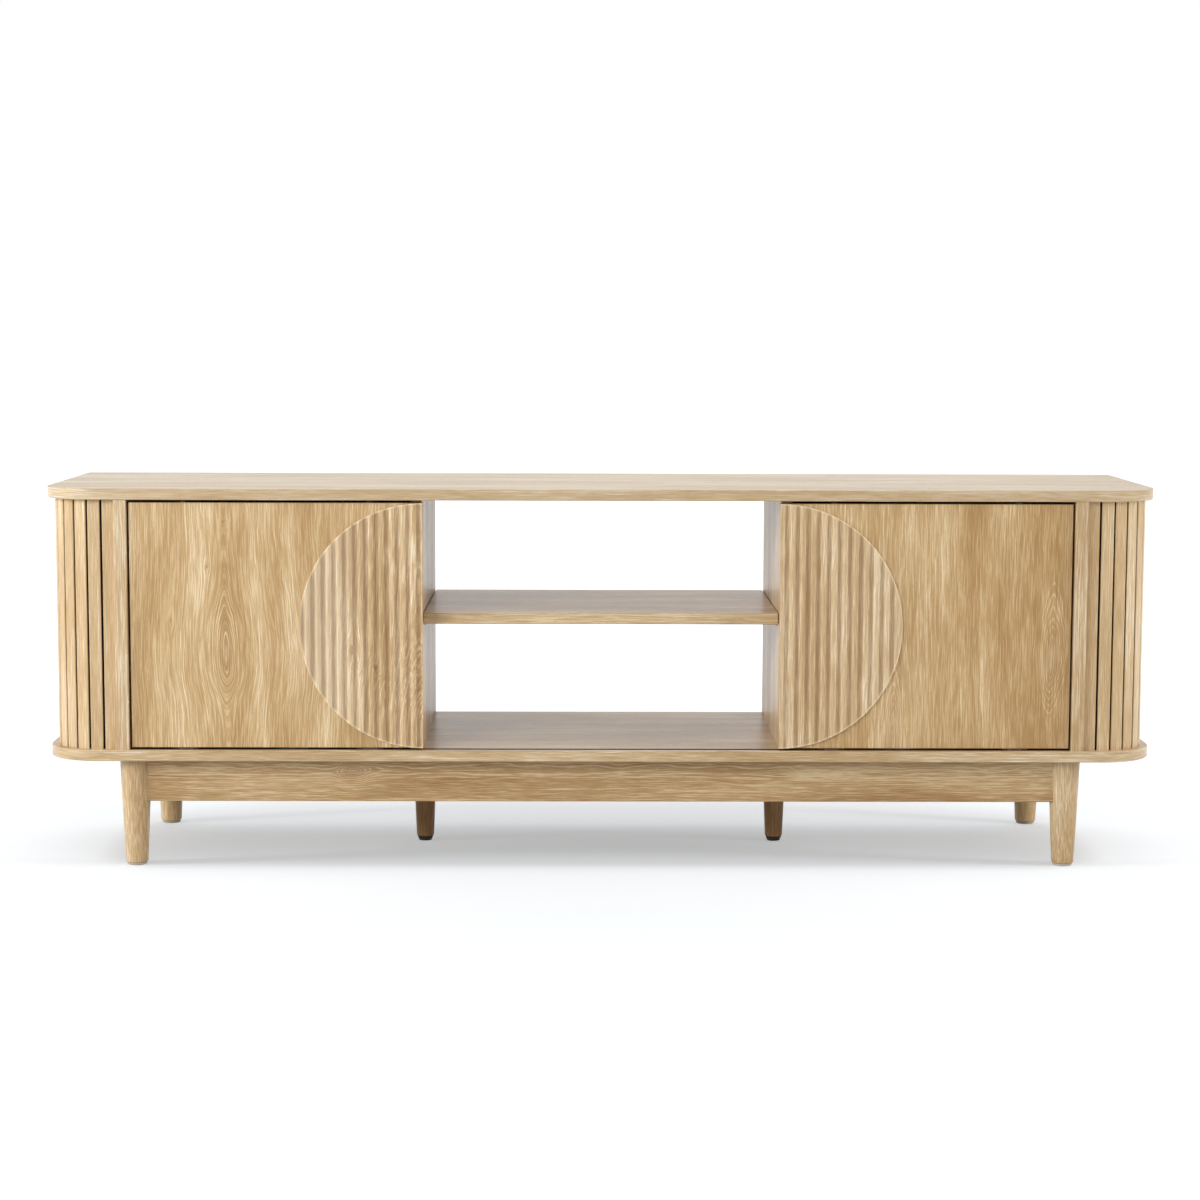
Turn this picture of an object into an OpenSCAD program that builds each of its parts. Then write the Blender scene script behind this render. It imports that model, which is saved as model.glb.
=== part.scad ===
// Media cabinet: oak carcass with an open centre bay, two sliding doors with fluted half discs,
// slatted rounded ends, and a leg frame. Front faces -Y, the origin is on the floor at the centre.

/* [Carcass] */
// Width over the top panel
cabinet_w = 1600; // [1560:10:1760]
// Depth of the top panel
cabinet_d = 400; // [380:5:440]
// Clear height between the bottom and top panels
carcass_h = 359; // [320:1:420]
// Thickness of the boards
board_t = 16; // [15:0.5:19]
// Thickness of the two side panels
side_panel_t = 18; // [16:0.5:20]
// Radius of the front corners of the top and bottom panels
corner_r = 80; // [70:1:90]
// Overhang of the top panel behind the carcass
back_overhang = 20; // [10:1:30]
// Clear width of the centre bay
centre_bay_w = 514; // [480:1:540]
// Width of each slatted end, outside its side panel
slatted_end_w = 106.5; // [100:0.5:120]
// Set-back of the side panels from the front edge of the bottom panel
side_set_back = 1.5; // [0.5:0.5:3]
// Width of the small bevel along the board edges
arris = 0.8; // [0.4:0.1:1.2]

/* [Back panels] */
// Thickness of the back panels
back_t = 5; // [3:0.5:6]
// Distance from the back of the carcass to the back panels
back_inset = 10; // [8:1:16]
// Depth of the grooves that hold the back panels
back_groove = 5; // [3:0.5:6]
// Diameter of the cable holes
cable_hole_d = 50; // [40:1:60]
// Height of the cable holes above the bottom panel
cable_hole_h = 85; // [60:1:110]

/* [Slatted ends] */
// Set-back of the slats from the edge of the top panel
slat_inset = 11.2; // [8:0.1:16]
// Width of a slat
slat_w = 17.8; // [14:0.1:20]
// Gap between two slats
slat_gap = 2.9; // [2:0.1:4]
// Thickness of a slat
slat_t = 8; // [6:0.5:10]
// Radius of the front edges of a slat
slat_edge_r = 1.5; // [0.8:0.1:2.5]
// Thickness of the bent backing sheet behind the slats
backing_t = 4; // [3:0.5:5]
// Depth of the grooves that hold the backing sheet
backing_groove = 4; // [3:0.5:6]

/* [Shelves] */
// Height of the centre shelf's underside above the bottom panel
centre_shelf_h = 177.5; // [140:0.5:220]
// Set-back of the centre shelf from the front edge of the bottom panel
centre_shelf_set_back = 45; // [35:1:80]
// Height of the side shelves' underside above the bottom panel
side_shelf_h = 193; // [150:1:230]
// Set-back of the side shelves from the front edge of the bottom panel
side_shelf_set_back = 60; // [45:1:100]
// Gap at each end of a shelf
shelf_end_gap = 1.5; // [1:0.1:2.5]
// Diameter of a shelf pin
pin_d = 5; // [4:0.5:6]
// Depth of a shelf pin in its board
pin_in = 7; // [5:0.5:7]
// Length of a shelf pin outside its board
pin_out = 8; // [6:0.5:10]
// Diameter of a shelf pin's collar
pin_collar_d = 8; // [7:0.5:10]
// Distance of the shelf pins from the ends of a shelf's depth
pin_end = 45; // [30:1:70]

/* [Doors] */
// Thickness of a door
door_t = 16; // [15:0.5:19]
// Set-back of the doors from the front edge of the bottom panel
door_set_back = 7; // [6.5:0.5:10]
// Gap between a closed door and its side panel
door_side_gap = 3; // [2:0.5:5]
// Gap under a door
door_bottom_gap = 3; // [2.5:0.5:5]
// Gap over a door
door_top_gap = 4; // [3:0.5:5]
// Distance that a closed door reaches past its partition into the centre bay
door_lap = 2; // [0:0.5:10]
// Gap between the back of a door and its partition
door_back_gap = 2; // [1:0.5:4]

/* [Fluted half discs] */
// Thickness of a half disc at its crests
disc_t = 6; // [4.5:0.5:6.4]
// Distance from one flute to the next
flute_pitch = 15.1; // [12:0.1:20]
// Depth of the flutes
flute_depth = 3; // [2:0.1:4]
// Distance from the cut edge of the right half disc to its first crest
flute_offset = 2.1; // [0:0.1:10]
// Radius of the half disc's softened front edge
disc_edge_r = 1.5; // [0.8:0.1:2]

/* [Door rollers and tracks] */
// Width of the track channels
track_w = 10; // [8:0.5:11]
// Wall of the track channels
track_wall = 1.5; // [1:0.1:1.6]
// Depth of the lower track
lower_track_h = 7; // [6:0.5:9]
// Depth of the upper track
upper_track_h = 9; // [8.5:0.5:10]
// Diameter of a roller
roller_d = 24; // [22:0.5:26]
// Width of a roller
roller_w = 6; // [4:0.5:6]
// Running gap between a roller and the floor of its track
roller_float = 0.3; // [0.2:0.05:0.4]
// Diameter of a roller's axle
axle_d = 4; // [3:0.5:5]
// Length of a roller housing
housing_l = 36; // [34:1:44]
// Thickness of a roller housing's side walls
housing_wall = 2; // [1.5:0.1:2.2]
// Thickness of a roller housing's flange
housing_flange = 1.6; // [1:0.1:1.8]
// Distance of the rollers from the middle of a door
roller_x = 132; // [100:1:150]
// Diameter of a guide pin
guide_d = 5; // [4:0.5:5.5]
// Length of a guide pin in the upper track
guide_reach = 6; // [4:0.5:6.5]
// Length that a guide pin can be pressed in
guide_travel = 8; // [6:0.5:9]
// Diameter of a guide pin's barrel
barrel_d = 11; // [10:0.5:12]
// Length of a guide pin's barrel
barrel_l = 30; // [26:1:40]

/* [Leg frame] */
// Height of the legs with their glides
leg_h = 157; // [130:1:180]
// Diameter of a leg at its top
leg_top_d = 45; // [38:0.5:46]
// Diameter of a leg at its foot
leg_foot_d = 31.5; // [26:0.5:34]
// Outward swell of a leg between its foot and top
leg_swell = 0.4; // [0.2:0.1:1.5]
// Distance of the legs from the sides of the cabinet
leg_side_inset = 127; // [110:1:160]
// Distance of the front legs from the front edge of the bottom panel
front_leg_inset = 40; // [34:1:60]
// Distance of the rear legs from the back of the carcass
rear_leg_inset = 20; // [20:1:50]
// Height of the rails
rail_h = 63; // [50:1:75]
// Thickness of the rails
rail_t = 18; // [15:0.5:20]
// Distance from a leg's axis to the outer face of its rails
rail_out = 11; // [10:0.5:14]
// Distance from a leg's axis to the end of its rails
rail_end = 12; // [11:0.5:14]
// Thickness of a glide under a leg
glide_t = 3; // [2:0.5:5]
// Diameter of a glide
glide_d = 28; // [22:0.5:30]
// Length of a corner block along each rail
block_l = 55; // [45:1:70]
// Height of a corner block
block_h = 45; // [35:1:55]
// Width of a cross rail
cross_rail_w = 50; // [42:1:70]
// Thickness of a cross rail
cross_rail_t = 20; // [16:0.5:25]
// Distance of the middle legs from the front edge of the bottom panel
mid_leg_inset = 220; // [180:1:240]
// Diameter of a middle leg at its top
mid_leg_top_d = 34.5; // [30:0.5:38]
// Diameter of a middle leg at its foot
mid_leg_foot_d = 26; // [24:0.5:28]
// Height of a levelling foot's pad
foot_pad_h = 6; // [5:0.5:9]
// Diameter of a levelling foot's pad where it meets the floor
foot_pad_d = 18.6; // [16:0.2:22]
// Diameter of a levelling foot's pad at its top
foot_pad_top_d = 24; // [20:0.5:28]
// Diameter of a levelling foot's stem
foot_stem_d = 8; // [6:0.5:8]

/* [Fasteners] */
// Diameter of a dowel
dowel_d = 8; // [6:1:8]
// Length of a dowel
dowel_l = 30; // [25:1:35]
// Depth of the dowels in the top and bottom panels
dowel_in = 10; // [8:0.5:11]
// Diameter of a cam lock
cam_d = 15; // [12:1:15]
// Depth of a cam lock in its board
cam_t = 12; // [10:0.5:12.5]
// Distance from a cam lock's axis to the end of its board
cam_reach = 24; // [20:1:34]
// Diameter of a cam bolt
cam_bolt_d = 6; // [5:0.5:7]
// Diameter of a leg bolt
leg_bolt_d = 6; // [5:0.5:6]
// Diameter of a frame screw
screw_d = 4; // [3:0.5:5]

/* [Hidden] */
$fn = 96;

LEFT = -1;
RIGHT = 1;
SIDES = [LEFT, RIGHT];
eps = 0.01;
fit = 0.1;          // clearance of a fixed piece in its hole
slide_fit = 0.2;    // clearance of a board in its groove
run_fit = 0.05;     // radial clearance of a turning or sliding shaft
air = 0.3;          // gap between flat faces that move apart

oak = "burlywood";
oak_pale = "wheat";
oak_shade = "tan";
dark_metal = [0.25, 0.23, 0.22];
dark_plastic = [0.12, 0.11, 0.1];
white_plastic = [0.9, 0.88, 0.82];
zinc = [0.75, 0.76, 0.78];

// Levels and faces that several pieces share
half_w = cabinet_w / 2;
front_y = -cabinet_d / 2;
back_y = cabinet_d / 2;
carcass_back_y = back_y - back_overhang;
floor_z = leg_h + board_t;
ceiling_z = floor_z + carcass_h;
partition_x = centre_bay_w / 2;
bay_x0 = partition_x + board_t;
side_x1 = half_w - slatted_end_w;
bay_x1 = side_x1 - side_panel_t;
side_bay_w = bay_x1 - bay_x0;
side_y0 = front_y + side_set_back;
door_y0 = front_y + door_set_back;
door_y1 = door_y0 + door_t;
track_y = (door_y0 + door_y1) / 2;
partition_y0 = door_y1 + door_back_gap;
back_panel_y1 = carcass_back_y - back_inset;
back_panel_y0 = back_panel_y1 - back_t;

// Doors
door_x0 = partition_x - door_lap;
door_x1 = bay_x1 - door_side_gap;
door_mid_x = (door_x0 + door_x1) / 2;
door_z0 = floor_z + door_bottom_gap;
door_z1 = ceiling_z - door_top_gap;
door_h = door_z1 - door_z0;
door_mid_z = (door_z0 + door_z1) / 2;
inner_roller_x = door_mid_x - roller_x;
outer_roller_x = door_mid_x + roller_x;
lower_track_floor_z = floor_z - lower_track_h + track_wall;
axle_z = lower_track_floor_z + roller_float + roller_d / 2;
roller_room = 1.5;  // free space over a roller and at its ends
housing_w = track_w - 2 * track_wall + 2 * housing_wall;
housing_top_z = axle_z + roller_d / 2 + roller_room + housing_wall;
guide_top_z = ceiling_z + guide_reach;
guide_collar_h = 4;
barrel_cap = 2;
barrel_bore_d = barrel_d - 3;

flute_cross = 1.02; // a crest's arc crosses the next valley's arc a little instead of just touching it

// Slatted ends: the slats stand on a line at slat_inset from the panel's edge
slat_line_r = corner_r - slat_inset;
slat_line_flat = half_w - corner_r - side_x1;
slat_line_arc = slat_line_r * PI / 2;
slat_line_side = carcass_back_y - front_y - corner_r;
slat_line_l = slat_line_flat + slat_line_arc + slat_line_side;
slat_pitch = slat_w + slat_gap;
slat_count = floor((slat_line_l + slat_gap) / slat_pitch);
slat_play = 0.05;   // glue line between a slat and the backing sheet
backing_x1 = half_w - slat_inset - slat_t - slat_play;

// Leg frame: the middle legs stand under the partitions
leg_x = half_w - leg_side_inset;
mid_leg_x = partition_x + board_t / 2;
rail_z0 = leg_h - rail_h;
front_leg_y = front_y + front_leg_inset;
rear_leg_y = carcass_back_y - rear_leg_inset;
leg_ys = [front_leg_y, rear_leg_y];
mid_leg_y = front_y + mid_leg_inset;
rail_in = rail_t - rail_out;
cross_rail_z0 = leg_h - cross_rail_t;
mid_leg_z0 = foot_pad_h + air;
insert_l = 20;
insert_wall = 2;
foot_stem_l = 30;
leg_foot_r = 3;
leg_steps = 10;
glide_pin_d = 3;
glide_pin_l = 14;
// Radius of a leg at the share t of its height
function leg_radius(t, top_d, foot_d) =
    (foot_d + (top_d - foot_d) * t) / 2 + 4 * leg_swell * t * (1 - t);
block_gap = 0.5;    // corner block to the round of the leg
block_nose = 12;    // thickness of a corner block's two arms
block_screw_in = [30, 16];  // from a corner block's inner corner to its upright screw
arm_screw_in = 12;  // from the end of a corner block's arm to its screw
cross_screw_in = 40;        // from the end of a cross rail to its screw

// Fastener lines along the depth of the upright boards, from their front and back edges
bolt_front = 50;
bolt_back = 60;
dowel_from_bolt = 35;
function bolt_ys(y0) = [y0 + bolt_front, carcass_back_y - bolt_back];
function dowel_ys(y0) = [bolt_ys(y0)[0] + dowel_from_bolt, bolt_ys(y0)[1] - dowel_from_bolt];
cam_bolt_in = 10;
screw_head_d = 8;
screw_head_h = 3;
screw_in = board_t * 2 / 3;
washer_t = 1.2;
bolt_head_h = 4;
bolt_head_w = 10;   // across the flats
leg_bolt_l = (2 * rail_in + block_l + block_nose) / sqrt(2) - 2;
mid_bolt_in = 30;
mid_bolt_up = cross_rail_t * 3 / 4;

// ---------------------------------------------------------------- shared forms

module on_side(side) {
    if (side == LEFT) mirror([1, 0, 0]) children();
    else children();
}

module box(low, high) {
    translate(low) cube(high - low);
}

// Cylinder along Y that starts at the given point
module rod_y(d, l) {
    rotate([-90, 0, 0]) cylinder(d = d, h = l);
}

// Cylinder along X that starts at the given point
module rod_x(d, l) {
    rotate([0, 90, 0]) cylinder(d = d, h = l);
}

module bevelled_rectangle(low, high, c) {
    polygon([
        [low.x + c, low.y], [high.x - c, low.y], [high.x, low.y + c], [high.x, high.y - c],
        [high.x - c, high.y], [low.x + c, high.y], [low.x, high.y - c], [low.x, low.y + c]
    ]);
}

// Board whose long edges along X are bevelled
module board_x(low, high) {
    translate([low.x, 0, 0]) rotate([90, 0, 90]) linear_extrude(high.x - low.x)
        bevelled_rectangle([low.y, low.z], [high.y, high.z], arris);
}

// Board whose upright edges are bevelled
module board_z(low, high) {
    translate([0, 0, low.z]) linear_extrude(high.z - low.z)
        bevelled_rectangle([low.x, low.y], [high.x, high.y], arris);
}

// Plan of a panel with two round front corners, drawn in from the top panel's edge
module panel_plan(inset, y1) {
    x1 = half_w - inset;
    y0 = front_y + inset;
    r = corner_r - inset;
    translate([-x1, y0 + r]) square([2 * x1, y1 - y0 - r]);
    translate([-x1 + r, y0]) square([2 * (x1 - r), r + eps]);
    for (s = SIDES) translate([s * (x1 - r), y0 + r]) circle(r, $fn = 180);
}

// Panel with bevelled edges: the straight edges are cut by a bevelled section, the corners by a ring
module panel(z0, z1, y1) {
    difference() {
        intersection() {
            translate([0, 0, z0]) linear_extrude(z1 - z0) panel_plan(0, y1);
            board_x([-half_w, front_y, z0], [half_w, y1, z1]);
            translate([0, y1, 0]) rotate([90, 0, 0]) linear_extrude(y1 - front_y)
                bevelled_rectangle([-half_w, z0], [half_w, z1], arris);
        }
        for (s = SIDES) translate([s * (half_w - corner_r), front_y + corner_r, 0])
            mirror([s == LEFT ? 1 : 0, 0, 0]) rotate([0, 0, -90])
                rotate_extrude(angle = 90, $fn = 180) {
                    corner_bevel(z0, 1);
                    corner_bevel(z1, -1);
                }
    }
}

module corner_bevel(z, up) {
    translate([corner_r, z]) polygon([
        [-arris, 0], [0, up * arris], [1, up * arris], [1, -up], [-arris, -up]
    ]);
}

// Plan of the backing sheet behind the slats on the right, grown by g on each face
module backing_plan(g) {
    intersection() {
        difference() {
            panel_plan(slat_inset + slat_t + slat_play - g, carcass_back_y);
            panel_plan(slat_inset + slat_t + slat_play + backing_t + g, carcass_back_y + eps);
        }
        translate([side_x1, front_y]) square([half_w - side_x1, cabinet_d]);
    }
}

// Grooves that the top and bottom panels share, cut g deep into the face at z
module carcass_grooves(z, up) {
    for (s = SIDES) on_side(s) {
        translate([0, 0, up > 0 ? z - eps : z - backing_groove])
            linear_extrude(backing_groove + eps) backing_plan(slide_fit);
        translate([bay_x0 - back_groove, back_panel_y0 - slide_fit, up > 0 ? z - eps : z - back_groove])
            cube([side_bay_w + 2 * back_groove, back_t + 2 * slide_fit, back_groove + eps]);
    }
}

// ---------------------------------------------------------------- carcass

module top_panel() {
    color(oak_pale) difference() {
        panel(ceiling_z, ceiling_z + board_t, back_y);
        track_groove(ceiling_z - eps, upper_track_h + fit + eps);
        carcass_grooves(ceiling_z, 1);
        dowel_holes(ceiling_z - eps, dowel_in + fit + eps);
        cam_bolt_holes();
    }
}

module bottom_panel() {
    color(oak) difference() {
        panel(leg_h, floor_z, carcass_back_y);
        track_groove(floor_z - lower_track_h - fit, lower_track_h + fit + eps);
        carcass_grooves(floor_z, -1);
        dowel_holes(floor_z - dowel_in - fit, dowel_in + fit + eps);
        frame_screw_places() cylinder(d = screw_d + 2 * fit, h = screw_in + fit + eps);
    }
}

// Groove for a track channel, between the side panels
module track_groove(z, h) {
    translate([-bay_x1, track_y - track_w / 2 - fit, z]) cube([2 * bay_x1, track_w + 2 * fit, h]);
}

module dowel_holes(z, h) {
    dowel_places(z) cylinder(d = dowel_d + 2 * fit, h = h);
}

module dowel_places(z) {
    for (s = SIDES) on_side(s) {
        for (y = dowel_ys(side_y0)) translate([(bay_x1 + side_x1) / 2, y, z]) children();
        for (y = dowel_ys(partition_y0)) translate([(partition_x + bay_x0) / 2, y, z]) children();
    }
}

module cam_bolt_places() {
    for (s = SIDES) on_side(s) {
        for (y = bolt_ys(side_y0)) translate([bay_x1 + cam_t / 2, y, 0]) children();
        for (y = bolt_ys(partition_y0)) translate([bay_x0 - cam_t / 2, y, 0]) children();
    }
}

module cam_bolt_holes() {
    cam_bolt_places() translate([0, 0, ceiling_z - eps])
        cylinder(d = cam_bolt_d + 2 * fit, h = cam_bolt_in + fit + eps);
}

// What the cam locks and their bolts need in an upright board
module cam_rooms() {
    for (s = SIDES) on_side(s) {
        for (y = bolt_ys(side_y0)) {
            translate([bay_x1 - eps, y, ceiling_z - cam_reach])
                rod_x(cam_d + 2 * fit, cam_t + fit + eps);
            translate([bay_x1 + cam_t / 2, y, ceiling_z - cam_reach])
                cylinder(d = cam_bolt_d + 2 * fit, h = cam_reach + eps);
        }
        for (y = bolt_ys(partition_y0)) {
            translate([bay_x0 - cam_t - fit, y, ceiling_z - cam_reach])
                rod_x(cam_d + 2 * fit, cam_t + fit + eps);
            translate([bay_x0 - cam_t / 2, y, ceiling_z - cam_reach])
                cylinder(d = cam_bolt_d + 2 * fit, h = cam_reach + eps);
        }
    }
}

module side_panel(side) {
    color(oak) on_side(side) difference() {
        board_z([bay_x1, side_y0, floor_z], [side_x1, carcass_back_y, ceiling_z]);
        upright_cuts();
    }
}

module partition(side) {
    color(oak_shade) on_side(side) difference() {
        board_z([partition_x, partition_y0, floor_z], [bay_x0, carcass_back_y, ceiling_z]);
        upright_cuts();
    }
}

// Groove for the back panel, and holes for dowels, cam locks and shelf pins
module upright_cuts() {
    box([bay_x0 - back_groove, back_panel_y0 - slide_fit, floor_z - eps],
        [bay_x1 + back_groove, back_panel_y1 + slide_fit, ceiling_z + eps]);
    dowel_holes(floor_z - eps, dowel_l - dowel_in + fit + eps);
    dowel_holes(ceiling_z - dowel_l + dowel_in - fit, dowel_l - dowel_in + fit + eps);
    cam_rooms();
    shelf_pin_places() rod_x(pin_d + 2 * fit, pin_in + fit + eps);
}

// Back panels stand in grooves on all four edges
module back_panel(side) {
    reach = back_groove - slide_fit;
    color(oak_shade) on_side(side) difference() {
        box([bay_x0 - reach, back_panel_y0, floor_z - reach],
            [bay_x1 + reach, back_panel_y1, ceiling_z + reach]);
        translate([(bay_x0 + bay_x1) / 2, back_panel_y0 - eps, floor_z + cable_hole_h])
            rod_y(cable_hole_d, back_t + 2 * eps);
    }
}

// ---------------------------------------------------------------- shelves

module centre_shelf() {
    color(oak_shade) board_x(
        [-partition_x + shelf_end_gap, front_y + centre_shelf_set_back, floor_z + centre_shelf_h],
        [partition_x - shelf_end_gap, carcass_back_y, floor_z + centre_shelf_h + board_t]);
}

module side_shelf(side) {
    color(oak_shade) on_side(side) board_x(
        [bay_x0 + shelf_end_gap, front_y + side_shelf_set_back, floor_z + side_shelf_h],
        [bay_x1 - shelf_end_gap, back_panel_y0 - shelf_end_gap, floor_z + side_shelf_h + board_t]);
}

// Each place is the bottom of a pin's hole, with the pin along +X
module shelf_pin_places() {
    centre_ys = [front_y + centre_shelf_set_back + pin_end, carcass_back_y - pin_end];
    side_ys = [front_y + side_shelf_set_back + pin_end, back_panel_y0 - shelf_end_gap - pin_end];
    for (s = SIDES) on_side(s) {
        for (y = centre_ys) translate([partition_x + pin_in, y, floor_z + centre_shelf_h - pin_d / 2])
            mirror([1, 0, 0]) children();
        for (y = side_ys) translate([0, y, floor_z + side_shelf_h - pin_d / 2]) {
            translate([bay_x0 - pin_in, 0, 0]) children();
            translate([bay_x1 + pin_in, 0, 0]) mirror([1, 0, 0]) children();
        }
    }
}

// Pin with a collar that stops against the board; its collar is flattened under the shelf
module shelf_pin() {
    rod_x(pin_d, pin_in + pin_out);
    translate([pin_in, 0, 0]) intersection() {
        rod_x(pin_collar_d, shelf_end_gap - 0.2);
        box([0, -pin_collar_d, -pin_collar_d], [pin_out, pin_collar_d, pin_d / 2]);
    }
}

module shelf_pins() {
    color(dark_metal) shelf_pin_places() shelf_pin();
}

// ---------------------------------------------------------------- slatted ends

// Place and turn of a slat whose middle is at length s along the slat line
function slat_turn(s) =
    s < slat_line_flat ? 0
    : s < slat_line_flat + slat_line_arc ? (s - slat_line_flat) / slat_line_r * 180 / PI
    : 90;
function slat_point(s) =
    s < slat_line_flat ? [side_x1 + s, front_y + slat_inset]
    : s < slat_line_flat + slat_line_arc
        ? [half_w - corner_r, front_y + corner_r]
            + slat_line_r * [sin(slat_turn(s)), -cos(slat_turn(s))]
    : [half_w - slat_inset, front_y + corner_r + s - slat_line_flat - slat_line_arc];

module slat_plan(w) {
    r = slat_edge_r;
    translate([-w / 2, r]) square([w, slat_t - r]);
    translate([-w / 2 + r, 0]) square([w - 2 * r, r + eps]);
    for (x = [-w / 2 + r, w / 2 - r]) translate([x, r]) circle(r, $fn = 24);
}

module slats(side) {
    color(oak) on_side(side) translate([0, 0, floor_z]) linear_extrude(carcass_h) {
        for (i = [0:slat_count - 1]) {
            s = slat_play + slat_w / 2 + i * slat_pitch;
            translate(slat_point(s)) rotate(slat_turn(s)) slat_plan(slat_w);
        }
    }
}

module slat_backing(side) {
    color(oak_shade) on_side(side) translate([0, 0, floor_z - backing_groove + slide_fit])
        linear_extrude(carcass_h + 2 * (backing_groove - slide_fit)) backing_plan(0);
}

// Board that closes the slatted end at the back
module end_board(side) {
    color(oak) on_side(side) box(
        [side_x1, carcass_back_y - board_t, floor_z],
        [backing_x1 - backing_t, carcass_back_y, ceiling_z]);
}

// ---------------------------------------------------------------- tracks and fittings

module track(h) {
    difference() {
        translate([-bay_x1 + fit, -track_w / 2, 0]) cube([2 * (bay_x1 - fit), track_w, h]);
        translate([-bay_x1, -track_w / 2 + track_wall, track_wall])
            cube([2 * bay_x1, track_w - 2 * track_wall, h]);
    }
}

module lower_track() {
    color(dark_plastic) translate([0, track_y, floor_z - lower_track_h]) track(lower_track_h);
}

module upper_track() {
    color(dark_plastic) translate([0, track_y, ceiling_z + upper_track_h])
        mirror([0, 0, 1]) track(upper_track_h);
}

module panel_dowels() {
    color(oak_pale) {
        dowel_places(floor_z - dowel_in) cylinder(d = dowel_d, h = dowel_l);
        dowel_places(ceiling_z + dowel_in - dowel_l) cylinder(d = dowel_d, h = dowel_l);
    }
}

// Cam lock: its side is bored for the bolt's head, its face has a cross slot
module cam_lock() {
    difference() {
        rod_x(cam_d, cam_t);
        translate([cam_t / 2, 0, 0]) cylinder(d = cam_bolt_d + 1, h = cam_d);
        for (a = [0, 90]) rotate([a, 0, 0]) translate([-eps, -0.6, -4]) cube([2.5, 1.2, 8]);
    }
}

module cam_locks() {
    color(zinc) for (s = SIDES) on_side(s) {
        for (y = bolt_ys(side_y0)) translate([bay_x1, y, ceiling_z - cam_reach]) cam_lock();
        for (y = bolt_ys(partition_y0)) translate([bay_x0, y, ceiling_z - cam_reach])
            mirror([1, 0, 0]) cam_lock();
    }
}

module cam_bolts() {
    neck = 1.5;
    color(zinc) cam_bolt_places() translate([0, 0, ceiling_z - cam_reach + 1]) {
        cylinder(d = cam_bolt_d, h = 3);
        translate([0, 0, 3 - eps]) cylinder(d = cam_bolt_d - 2 * neck, h = 4);
        translate([0, 0, 7 - 2 * eps]) cylinder(d = cam_bolt_d, h = cam_reach - 8 + cam_bolt_in);
    }
}

// ---------------------------------------------------------------- leg frame

// Round leg with a slightly swelled side and a softened foot edge
module turned_leg(top_d, foot_d, z0, z1) {
    turn = leg_foot_r / (z1 - z0);
    rotate_extrude() polygon(concat(
        [[0, z0]],
        [for (a = [0:15:75]) [
            leg_radius(turn, top_d, foot_d) - leg_foot_r * (1 - sin(a)), z0 + leg_foot_r * (1 - cos(a))
        ]],
        [for (i = [0:leg_steps]) let (t = turn + (1 - turn) * i / leg_steps)
            [leg_radius(t, top_d, foot_d), z0 + (z1 - z0) * t]],
        [[0, z1]]
    ));
}

// Legs are housed for the two rails that meet in them, and bored for the bolt and glide pin
module leg(side, y, inward) {
    turned = [0, inward > 0 ? 0 : 1, 0];
    color(oak) on_side(side) translate([leg_x, y, 0]) mirror(turned) difference() {
        turned_leg(leg_top_d, leg_foot_d, glide_t, leg_h);
        box([-leg_top_d, -rail_out - fit, rail_z0 - fit],
            [-rail_end + fit, rail_in + fit, leg_h + 1]);
        box([-rail_in - fit, rail_end - fit, rail_z0 - fit],
            [rail_out + fit, leg_top_d, leg_h + 1]);
        leg_bolt_place() cylinder(d = leg_bolt_d + 2 * fit, h = leg_top_d);
        cylinder(d = glide_pin_d + 2 * fit, h = glide_t + glide_pin_l + fit);
    }
}

// Axis of a corner bolt, from near the leg's middle out through the corner block
module leg_bolt_place() {
    translate([0, 0, leg_h - block_h / 2]) rotate([0, 0, 135])
        translate([2, 0, 0]) rotate([0, 90, 0]) children();
}

module leg_glides() {
    color(white_plastic) for (s = SIDES, y = leg_ys) translate([s * leg_x, y, 0]) {
        cylinder(d1 = glide_d - 1.5, d2 = glide_d, h = 1);
        translate([0, 0, 1 - eps]) cylinder(d = glide_d, h = glide_t - 1 + eps);
        cylinder(d = glide_pin_d, h = glide_t + glide_pin_l);
    }
}

module long_rail(y0) {
    x1 = leg_x - rail_end;
    color(oak) difference() {
        board_x([-x1, y0, rail_z0], [x1, y0 + rail_t, leg_h]);
        rail_screw_holes();
    }
}

module rail_screw_holes() {
    each_corner() rail_screw_places() translate([0, 0, block_nose - 2 - eps])
        cylinder(d = screw_d + 2 * fit, h = screw_in + fit + eps);
}

module front_rail() {
    long_rail(front_leg_y - rail_out);
}

module rear_rail() {
    long_rail(rear_leg_y + rail_out - rail_t);
}

module side_rail(side) {
    color(oak) difference() {
        on_side(side) box([leg_x - rail_in, front_leg_y + rail_end, rail_z0],
            [leg_x - rail_in + rail_t, rear_leg_y - rail_end, leg_h]);
        rail_screw_holes();
    }
}

module cross_rail(side) {
    color(oak_shade) on_side(side) difference() {
        box([mid_leg_x - cross_rail_w / 2, front_leg_y + rail_in, cross_rail_z0],
            [mid_leg_x + cross_rail_w / 2, rear_leg_y - rail_in, leg_h]);
        translate([mid_leg_x, mid_leg_y, cross_rail_z0 - eps])
            cylinder(d = leg_bolt_d + 2 * fit, h = mid_bolt_up + fit + eps);
        cross_screw_places() translate([0, 0, -1])
            cylinder(d = screw_d + 2 * fit, h = cross_rail_t + 2);
    }
}

module corner_block() {
    linear_extrude(block_h) difference() {
        polygon([
            [-rail_in, rail_in], [-rail_in, rail_in + block_l],
            [-rail_in - block_nose, rail_in + block_l], [-rail_in - block_l, rail_in + block_nose],
            [-rail_in - block_l, rail_in]
        ]);
        circle(d = leg_top_d + 2 * block_gap);
    }
}

// Children are placed at each leg's axis, turned so that the block lies towards -X and +Y
module each_corner() {
    for (s = SIDES) on_side(s) {
        translate([leg_x, front_leg_y, 0]) children();
        translate([leg_x, rear_leg_y, 0]) mirror([0, 1, 0]) children();
    }
}

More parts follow.
